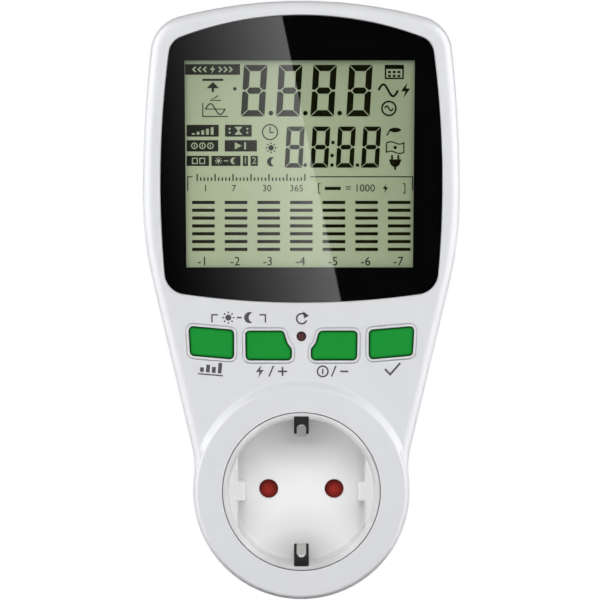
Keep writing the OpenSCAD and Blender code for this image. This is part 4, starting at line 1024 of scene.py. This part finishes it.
class METER_OT_display_marks(bpy.types.Operator):
    """Make the digits, bars and pictograms of the display"""
    bl_idname = "meter.display_marks"
    bl_label = "Display marks"

    def execute(self, context):
        colours = context.scene.meter_colours
        dark, light = Marks(GLASS - 0.04, GLASS, VIEW_X), Marks(GLASS - 0.06, GLASS - 0.03, VIEW_X)
        self.digits(dark)
        self.tags(dark, light)
        self.signs(dark)
        self.bars(dark)
        black = surface("display_segments", colours.segment, gloss=0.4, tint=0.1, bump=0.0, level=0.0)
        pale = surface("display_tag_signs", colours.display, gloss=0.4, tint=0.02, bump=0.0)
        dark.make("display_segments", black, "display_green")
        light.make("display_tag_signs", pale, "display_green")
        return {"FINISHED"}

    def digits(self, dark):
        """Upper and lower row of digits with their points."""
        for x in (-16.85, -6.8, 3.07, 13.35):
            dark.seven(x, VIEW_TOP - 16.0, w=6.75, h=14.8, t=1.8, gap=0.17)
        for x in (-8.24, 1.64, 11.48):
            dark.disc((x, VIEW_TOP - 15.05), 0.68)
        for x in (-4.33, 3.04, 10.36, 17.6):
            dark.seven(x, VIEW_TOP - 30.7, w=5.1, h=11.8, t=1.3, gap=0.13)
        for x, v in ((1.58, 29.95), (9.27, 29.95), (16.6, 29.95), (9.56, 23.5), (9.3, 27.2)):
            dark.disc((x, VIEW_TOP - v), 0.52)

    def tags(self, dark, light):
        """Dark blocks with light signs in them."""
        for top, foot, spans in (
                (1.0, 4.05, ((-32.9, -17.1),)),
                (18.4, 21.8, ((-32.4, -23.2), (-21.4, -13.75))),
                (22.8, 26.05, ((-32.4, -23.35), (-21.5, -12.25))),
                (27.3, 30.2, ((-32.4, -26.0), (-25.3, -16.95), (-16.3, -14.8), (-14.1, -12.0)))):
            for x0, x1 in spans:
                dark.box(x0, VIEW_TOP - foot, x1, VIEW_TOP - top, 0.12)
        z = VIEW_TOP - 2.52
        light.poly(bolt((-25.0, z), 2.5))
        for side in (-1, 1):
            for k in range(3):
                x, tip = -25.0 + side * (2.2 + 1.5 * k), side * 0.4
                light.line([(x - tip, z + 0.75), (x + tip, z), (x - tip, z - 0.75)], 0.4)
        z = VIEW_TOP - 20.1
        for k in range(5):
            light.box(-30.9 + 1.35 * k, z - 1.15, -30.1 + 1.35 * k, z - 0.7 + 0.42 * k)
        light.poly([(-18.7, z + 1.15), (-16.4, z + 1.15), (-17.4, z),
                    (-16.4, z - 1.15), (-18.7, z - 1.15), (-17.7, z)])
        for x in (-20.1, -15.0):
            light.disc((x, z + 0.55), 0.3)
            light.disc((x, z - 0.55), 0.3)
        z = VIEW_TOP - 24.42
        for x in (-30.2, -27.9, -25.6):
            light.hoop((x, z), 0.8, 0.32)
            light.box(x - 0.14, z - 0.4, x + 0.14, z + 0.4)
        light.poly([(-18.6, z + 1.05), (-18.6, z - 1.05), (-16.6, z)])
        light.box(-15.9, z - 1.05, -15.4, z + 1.05)
        z = VIEW_TOP - 28.75
        light.frame(-30.9, z - 0.9, -29.2, z + 0.9, 0.3)
        light.frame(-28.8, z - 0.9, -27.1, z + 0.9, 0.3)
        sun(light, (-23.3, z), 1.05, 0.26)
        light.line([(-21.7, z), (-20.5, z)], 0.3)
        light.poly(moon((-18.9, z), 0.95))
        light.number("1", -15.55, z, 1.9)
        light.number("2", -13.05, z, 1.9)

    def signs(self, dark):
        """Pictograms and units, placed by their distance under the top of the window."""
        def z(v):
            return VIEW_TOP - v
        # upper left: highest value, and a wave between its axes
        dark.line([(-27.9, z(5.5)), (-21.9, z(5.5))], 0.62)
        dark.line([(-24.9, z(9.0)), (-24.9, z(6.6))], 0.7)
        dark.poly([(-26.7, z(7.9)), (-23.1, z(7.9)), (-24.9, z(6.1))])
        dark.disc((-18.6, z(8.1)), 0.5)
        dark.line([(-27.8, z(12.1)), (-27.8, z(16.0)), (-20.5, z(16.0))], 0.28)
        dark.line([(-27.1, z(13.9)), (-21.3, z(13.9))], 0.26)
        dark.line(wave((-24.2, z(13.9)), 5.6, 3.1), 0.34)
        dark.line([(-22.6, z(11.4)), (-25.6, z(11.4)), (-23.3, z(10.0))], 0.3)
        # clock, day and night
        dark.hoop((-8.5, z(20.5)), 2.15, 0.34)
        dark.line([(-8.5, z(18.95)), (-8.5, z(20.6)), (-7.4, z(20.6))], 0.32)
        sun(dark, (-8.2, z(25.0)), 1.55, 0.36)
        dark.poly(moon((-8.0, z(29.0)), 1.35))
        # upper right units: calendar, wave and bolt, source
        dark.frame(24.4, z(5.3), 29.9, z(1.2), 0.45)
        dark.box(24.4, z(2.4), 29.9, z(1.2))
        for i in range(3):
            for v in (2.95, 4.05):
                dark.box(25.35 + 1.35 * i, z(v + 0.65), 26.2 + 1.35 * i, z(v))
        dark.line(wave((25.4, z(8.5)), 5.6, 3.4), 0.62)
        dark.poly(bolt((30.4, z(8.5)), 4.4))
        dark.hoop((25.6, z(13.7)), 2.0, 0.5)
        dark.line(wave((25.6, z(13.7)), 2.4, 1.3), 0.42)
        # lower right units: leaf, note, plug
        dark.poly(arc((27.4, z(22.1)), 2.9, 50, 130, 12) + arc((27.4, z(17.66)), 2.9, 230, 310, 12)[1:-1])
        dark.line([(25.0, z(21.5)), (25.9, z(19.9))], 0.36)
        note = [(24.9 + i * 0.5, z(23.6) + 0.35 * math.sin(i * 0.63)) for i in range(11)]
        dark.line(note + [(x, y - 2.7) for x, y in note[::-1]] + [note[0]], 0.34)
        dark.disc((27.4, z(24.9)), 0.5)
        dark.poly(arc((27.4, z(29.0)), 1.5, 180, 360, 12))
        dark.box(25.7, z(29.0), 29.1, z(28.3))
        for x in (26.5, 28.3):
            dark.box(x - 0.28, z(28.3), x + 0.28, z(27.1))
        dark.box(27.1, z(31.3), 27.7, z(30.4))
        # brackets, a scale and plain numbers over the bars
        dark.line([(-30.7, z(33.3)), (-32.1, z(33.3)), (-32.1, z(37.3))], 0.28)
        dark.line([(3.0, z(33.3)), (32.4, z(33.3)), (32.4, z(37.3))], 0.28)
        for i in range(31):
            x = -29.4 + 1.03 * i
            dark.box(x - 0.19, z(34.5), x + 0.19, z(32.5 if i % 5 == 0 else 33.5))
        for text, x in (("1", -27.0), ("7", -18.9), ("30", -9.4), ("365", -0.9)):
            dark.number(text, x, z(36.7), 1.9)
        dark.line([(6.0, z(35.3)), (5.4, z(35.3)), (5.4, z(38.0)), (6.0, z(38.0))], 0.26)
        dark.line([(29.6, z(35.3)), (30.2, z(35.3)), (30.2, z(38.0)), (29.6, z(38.0))], 0.26)
        dark.box(7.2, z(37.1), 11.8, z(36.2))
        dark.number("= 1000", 17.4, z(36.65), 2.1)
        dark.poly(bolt((24.6, z(36.65)), 2.7))

    def bars(self, dark):
        """Columns of bars, each with its number under it."""
        count, left, across, width, under, down, half_h = 7, -30.85, 9.36, 6.5, 40.67, 2.244, 0.46
        for column in range(count):
            x = left + across * column
            for row in range(count):
                z = VIEW_TOP - (under + down * row)
                dark.box(x, z - half_h, x + width, z + half_h)
            dark.number(f"-{column + 1}", x + 3.0, VIEW_TOP - 57.65, 2.5)


class METER_OT_keys(bpy.types.Operator):
    """Make the four green keys and finish the reset plunger"""
    bl_idname = "meter.keys"
    bl_label = "Keys"

    def execute(self, context):
        edge = context.scene.meter_shapes.key_edge / MM
        green = surface("green_key", context.scene.meter_colours.key, gloss=0.5, tint=0.02, grain=2200.0,
                        bump=0.02, level=0.0)
        top = KEY_PROUD - FACE
        # painted shade: darker down the round edge than on top
        paint_light_and_shade(green, (0.0, 1.0, 0.0), (top - 0.4, 0.4), (top - 0.01, 1.0))
        stops = [(LEDGE + 2 * PAST, 0.0)] + round_front(FACE - KEY_PROUD, edge)
        for place, name in enumerate(KEYS):
            piece = make_object(f"{name}_key_cap", key_block(place, 0.0, stops))
            finish_piece(piece, green, f"{name}_button", (f"{name}_key",))
        dress("reset_plunger", surface("reset_red", (0.07, 0.012, 0.012), gloss=0.4, tint=0.1))
        return {"FINISHED"}


class METER_OT_printed_marks(bpy.types.Operator):
    """Print plain signs round the keys"""
    bl_idname = "meter.printed_marks"
    bl_label = "Printed marks"

    def execute(self, context):
        ink = surface("print_grey", context.scene.meter_colours.ink, gloss=0.5, tint=0.05, bump=0.0)
        marks = Marks(FACE - 0.02, FACE + 0.01)
        thin, bold, over, under = 0.42, 0.5, 49.7, 34.3
        # day and night between brackets, over the two left keys
        marks.line([(-25.6, 48.3), (-25.6, 50.5), (-23.9, 50.5)], thin)
        marks.line([(-12.0, 50.5), (-10.3, 50.5), (-10.3, 48.3)], thin)
        sun(marks, (-20.9, over), 1.75, thin)
        marks.line([(-18.5, over), (-17.1, over)], 0.45)
        marks.poly(moon((-14.8, over), 1.6))
        # turning arrow over the pin-hole
        marks.line(arc((0.1, 49.4), 1.45, 50, 340, 28), 0.48)
        marks.poly([(2.18, 50.25), (0.45, 51.5), (0.75, 49.45)])
        # under the keys: record, bolt and plus, coin and minus, tick
        self.record(marks, (-25.9, 34.9), -5.0)
        marks.poly(bolt((-11.9, under), 3.8))
        marks.line([(-9.3, 32.8), (-8.0, 35.9)], thin)
        marks.line([(-6.7, under), (-4.1, under)], bold)
        marks.line([(-5.4, 33.0), (-5.4, 35.6)], bold)
        marks.hoop((6.1, under), 1.5, 0.46)
        marks.box(5.88, 33.5, 6.32, 35.1)
        marks.line([(8.6, 32.8), (9.9, 35.9)], thin)
        marks.line([(11.1, under), (13.4, under)], bold)
        marks.line([(23.9, 35.0), (25.4, 33.4), (28.3, 36.7)], 0.56)
        marks.make("printed_signs", ink, "white_shell")
        return {"FINISHED"}

    def record(self, marks, c, turn):
        """Little bar chart on a base line, turned like the key over it."""
        spin = Matrix.Rotation(math.radians(turn), 2)
        half, base, top, foot, left, step, width = 3.6, -1.75, -1.35, -0.95, -3.1, 1.7, 1.1
        def put(x0, z0, x1, z1):
            corners = ((x0, z0), (x1, z0), (x1, z1), (x0, z1))
            marks.poly([Vector(c) + spin @ Vector(p) for p in corners])
        put(-half, base, half, top)
        for k, height in enumerate((1.3, 2.2, 1.7, 3.0)):
            x = left + step * k
            put(x, foot, x + width, foot + height)


class METER_OT_socket(bpy.types.Operator):
    """Make the socket cup with its flats, ribs, pin holes and earth slots"""
    bl_idname = "meter.socket"
    bl_label = "Socket"

    def execute(self, context):
        edge, hole_edge = 0.15, 0.35
        lip = arc((CUP_R - edge, DISC + edge), edge, 0, -90, 5)
        cup = turned([(0.0, FLOOR_BACK), (CUP_R, FLOOR_BACK)] + lip + [(0.0, DISC)], DISC_SIDES)
        piece = make_object("socket_cup_body", cup)
        mouth = [stop for stop in flare(DISC, MOUTH, steps=24) if stop[0] < DISC + FLAT_DEPTH]
        cut(piece, bore((0, 0), RECESS_R, mouth, DISC_SIDES))
        cut(piece, self.recess())
        through = [(FLOOR_BACK + 2 * PAST, 0.0)] + flare(FLOOR, hole_edge, out=1.0)
        cut(piece, *(bore((x, 0), HOLE_R, through, n=64) for x in (-HOLE_X, HOLE_X)), *self.slots())
        finish_piece(piece, socket_material(), "body", ("socket_cup",))
        red = surface("red_shutter", context.scene.meter_colours.shutter, gloss=0.5, tint=0.05, level=0.2)
        # painted shade and light: darker towards the edge of each pin hole, lighter in its middle
        paint_light_and_shade(red, (1.0, 0.0, 1.0), (0.8, 1.2), (2.7, 0.4), (HOLE_X, 0.0, 0.0), twins=True)
        dress("safety_shutter", red)
        return {"FINISHED"}

    def slots(self):
        """Earth slots over and under the recess, widened outwards behind the lip of the cup."""
        wide, lip, corner = -1.6, 2.4, 0.3
        run = [(FLOOR_BACK + PAST, wide), (DISC + lip - wide, wide), (DISC + lip, 0.0),
               (DISC - 2 * PAST, 0.0)]
        def upper(inset):
            return rectangle(-SLOT_HALF, SLOT_IN, SLOT_HALF, SLOT_OUT - inset, corner)
        def lower(inset):
            return rectangle(-SLOT_HALF, inset - SLOT_OUT, SLOT_HALF, -SLOT_IN, corner)
        return prism(upper, run), prism(lower, run)

    def recess(self):
        """Room for the plug: drafted wall, flats and ribs, with a hollow round the floor."""
        hollow, brow, draft, overlap, top = 0.4, 0.35, 0.1, 0.1, DISC + FLAT_DEPTH
        rings = []
        for turn in (math.radians(t) for t in range(0, 91, 10)):
            in_by, y = hollow * (1 - math.sin(turn)), FLOOR - hollow * (1 - math.cos(turn))
            rings.append((y, recess_outline(draft + in_by, -in_by)))
        for y, shrink in [stop for stop in flare(DISC, MOUTH, steps=24) if stop[0] > top]:
            rise = max(0.0, 1 - (y - top) / brow)
            rings.append((y, recess_outline(shrink, brow * (1 - math.sqrt(1 - rise * rise)))))
        rings.append((top - overlap, recess_outline(shrink, brow)))
        return lofted([[(p.x, y, p.y) for p in ring] for y, ring in rings])


def smooth_path(points, steps):
    """Even steps on a smooth curve through points."""
    knots = [Vector(p) for p in points]
    last = len(knots) - 1
    pull = [(knots[min(i + 1, last)] - knots[max(i - 1, 0)]) / 6 for i in range(last + 1)]
    path = [knots[0]]
    for i in range(last):
        a, b = knots[i], knots[i + 1]
        path += interpolate_bezier(a, a + pull[i], b - pull[i + 1], b, steps)[1:]
    return path


def strip(path, half_widths, crown=0.0):
    """Bent sheet along a path of distance from the axis and depth.

    A crown lowers its edges on the inner side.
    """
    rings, last = [], len(path) - 1
    for i, (p, half) in enumerate(zip(path, half_widths)):
        way = (path[min(i + 1, last)] - path[max(i - 1, 0)]).normalized()
        side = Vector((-way.y, way.x))
        ring = []
        for u in (k / 4 for k in range(-4, 5)):
            inner = p + side * (SHEET / 2 - crown * u * u)
            ring.append((u * half, inner.y, inner.x))
        outer = p - side * SHEET / 2
        rings.append(ring + [(half, outer.y, outer.x), (-half, outer.y, outer.x)])
    return lofted(rings)


class METER_OT_earth_bracket(bpy.types.Operator):
    """Make the earth bracket: socket clips, feet, legs, side contacts of the plug and cross bar"""
    bl_idname = "meter.earth_bracket"
    bl_label = "Earth bracket"

    def execute(self, context):
        metal = surface("earth_metal", (0.5, 0.5, 0.49), gloss=0.4, bump=0.03, metal=True)
        # painted shade: the metal darkens towards the foot behind the cup floor, so the earth slots look
        # dark inside
        paint_light_and_shade(metal, (0.0, 1.0, 0.0), (5.0, 0.24), (11.0, 1.0), (0.0, FLOOR_BACK - 0.5, 0.0))
        # painted light and shade: lighter towards the lower clip, darker towards the upper clip
        paint_light_and_shade(metal, (0.0, 0.0, 1.0), (2.0, 1.15), (38.0, 0.8), (0.0, 0.0, -20.0))
        reach = LEG_AT + SHEET / 2
        bar = block(-LEG_HALF, -reach, LEG_HALF, reach, BAR - SHEET / 2, BAR + SHEET / 2)
        piece = make_object("earth_strip", bar)
        for side in (1, -1):
            for points, faces in self.side():
                fuse(piece, ([(x, y, side * z) for x, y, z in points], faces))
        finish_piece(piece, metal, "body", ("earth_bracket",))
        return {"FINISHED"}

    def side(self):
        """Clip with a round tip, the foot that closes its slot from behind, and the leg to the plug."""
        foot_front, foot_start, foot_end = FLOOR_BACK + 0.3, 15.4, 22.3
        foot_back, foot_corner, tip_half, crown = foot_front + SHEET, 0.6, 0.15, 0.18
        tip, grip = Vector((18.9, -41.5)), Vector((15.75, -35.2))
        clip = smooth_path((tip, (16.25, -36.8), grip, (16.15, -33.6), (LEG_AT, -30.0),
                            (LEG_AT, foot_back - 0.2)), 26)
        widths = []
        for p in clip:
            left = max(0.0, 1 - (tip.x - p.x) / CLIP_HALF) if p.y < grip.y else 0.0
            widths.append(max(tip_half, CLIP_HALF * math.sqrt(1 - left * left)))
        foot = block(-LEG_HALF, foot_start, LEG_HALF, foot_end, foot_front, foot_back, foot_corner)
        bends = ((LEG_AT, foot_front + 0.1), (LEG_AT, 1.5), (SIDE_AT, 4.5), (SIDE_AT, LEG_END))
        leg = [Vector(p) for p in bends]
        return strip(clip, widths, crown), foot, strip(leg, [LEG_HALF] * len(leg))


class METER_OT_plug(bpy.types.Operator):
    """Make the plug body with its grooves and earth channels"""
    bl_idname = "meter.plug"
    bl_label = "Plug"

    def execute(self, context):
        root, room, clear = REAR - 2.0, 3.1, 24.0
        grip_at, grip_half, grip_start, grip_corner = 15.4, 3.0, 1.0, 0.5
        inside, outside = root - 2 * PAST, PLUG_END + 2 * PAST
        edge = arc((PLUG_R - PLUG_EDGE, PLUG_END - PLUG_EDGE), PLUG_EDGE, 0, 90, 8)
        plug = turned([(0.0, root), (PLUG_R, root)] + edge + [(0.0, PLUG_END)], PLUG_SIDES)
        piece = make_object("plug_block", plug)
        cut(piece,
            *(block(x0, -grip_half, x1, grip_half, grip_start, outside, grip_corner)
              for x0, x1 in on_both_sides(grip_at, clear)),
            *(bore((x, 0), PIN_BORE, [(inside, 0.0), (outside, 0.0)]) for x in (-HOLE_X, HOLE_X)))
        # room for the earth legs, first inside the plug and then open at its side
        for near, far, y0, y1 in ((16.7, 18.8, inside, 5.0), (17.65, clear, 4.0, PLUG_END - 1.2)):
            cut(piece, *(block(-room, z0, room, z1, y0, y1) for z0, z1 in on_both_sides(near, far)))
        finish_piece(piece, shell_material(), "body", ("plug_body",))
        return {"FINISHED"}


class METER_OT_inner_parts(bpy.types.Operator):
    """Give every CAD part that stays its own finish"""
    bl_idname = "meter.inner_parts"
    bl_label = "Metal and inner parts"

    def execute(self, context):
        nickel = surface("nickel_metal", (0.4, 0.39, 0.37), gloss=0.4, bump=0.03, metal=True)
        steel = surface("screw_steel", (0.5, 0.5, 0.5), gloss=0.3, bump=0.05, metal=True)
        brass = surface("contact_brass", (0.62, 0.44, 0.16), gloss=0.3, bump=0.04, metal=True)
        shunt = surface("shunt_metal", (0.6, 0.38, 0.26), gloss=0.35, bump=0.04, metal=True)
        inner = surface("white_inner", (0.7, 0.7, 0.68), gloss=0.5, tint=0.02)
        board = surface("board_green", (0.02, 0.16, 0.05), gloss=0.35, tint=0.12, grain=900.0, bump=0.05)
        black = surface("black_part", (0.012, 0.012, 0.013), gloss=0.5, tint=0.1)
        rubber = surface("grey_rubber", (0.05, 0.05, 0.052), gloss=0.8, tint=0.08)
        finishes = {
            nickel: ("live_pin", "neutral_pin"),
            steel: ("housing_screws", "display_board_screws", "socket_cup_screws", "carrier_screws",
                    "metering_board_screws", "shutter_spring"),
            brass: ("live_contact", "neutral_contact"),
            shunt: ("current_shunt",),
            inner: ("display_frame", "contact_carrier"),
            board: ("display_board", "metering_board"),
            black: ("display_chip", "switch_bodies", "history_plunger", "up_plunger", "down_plunger",
                    "set_plunger", "metering_chip", "smoothing_capacitor"),
            rubber: ("contact_rubber",),
            surface("yellow_part", (0.62, 0.5, 0.12), gloss=0.4, tint=0.04): ("dropper_capacitor",),
            surface("blue_part", (0.03, 0.09, 0.35), gloss=0.35, tint=0.05): ("varistor",),
            surface("battery_sleeve", (0.16, 0.3, 0.08), gloss=0.3, tint=0.04): ("backup_battery",),
            surface("ribbon_grey", (0.45, 0.45, 0.46), gloss=0.5, tint=0.05): ("ribbon_cable",),
            surface("red_lead", (0.42, 0.02, 0.02), gloss=0.4, tint=0.05): ("live_lead", "neutral_lead"),
        }
        for material, nodes in finishes.items():
            for node in nodes:
                dress(node, material)
        return {"FINISHED"}


STEPS = (METER_OT_stage, METER_OT_front_housing, METER_OT_rear_housing, METER_OT_lens,
         METER_OT_display_marks, METER_OT_keys, METER_OT_printed_marks, METER_OT_socket,
         METER_OT_earth_bracket, METER_OT_plug, METER_OT_inner_parts)


class METER_PT_build(bpy.types.Panel):
    """Steps of the build, in order"""
    bl_idname = "METER_PT_build"
    bl_label = "Energy meter"
    bl_space_type = "VIEW_3D"
    bl_region_type = "UI"
    bl_category = "Meter"

    def draw(self, context):
        for step in STEPS:
            self.layout.operator(step.bl_idname)


GROUPS = {"meter_shapes": MeterShapes, "meter_colours": MeterColours, "meter_stage": MeterStage}


def register():
    for kind in (*GROUPS.values(), *STEPS, METER_PT_build):
        bpy.utils.register_class(kind)
    for name, kind in GROUPS.items():
        setattr(bpy.types.Scene, name, PointerProperty(type=kind))


def unregister():
    for name in GROUPS:
        delattr(bpy.types.Scene, name)
    for kind in reversed((*GROUPS.values(), *STEPS, METER_PT_build)):
        bpy.utils.unregister_class(kind)


def main():
    register()
    for step in STEPS:
        group, name = step.bl_idname.split(".")
        getattr(getattr(bpy.ops, group), name)()


if __name__ == "__main__":
    main()
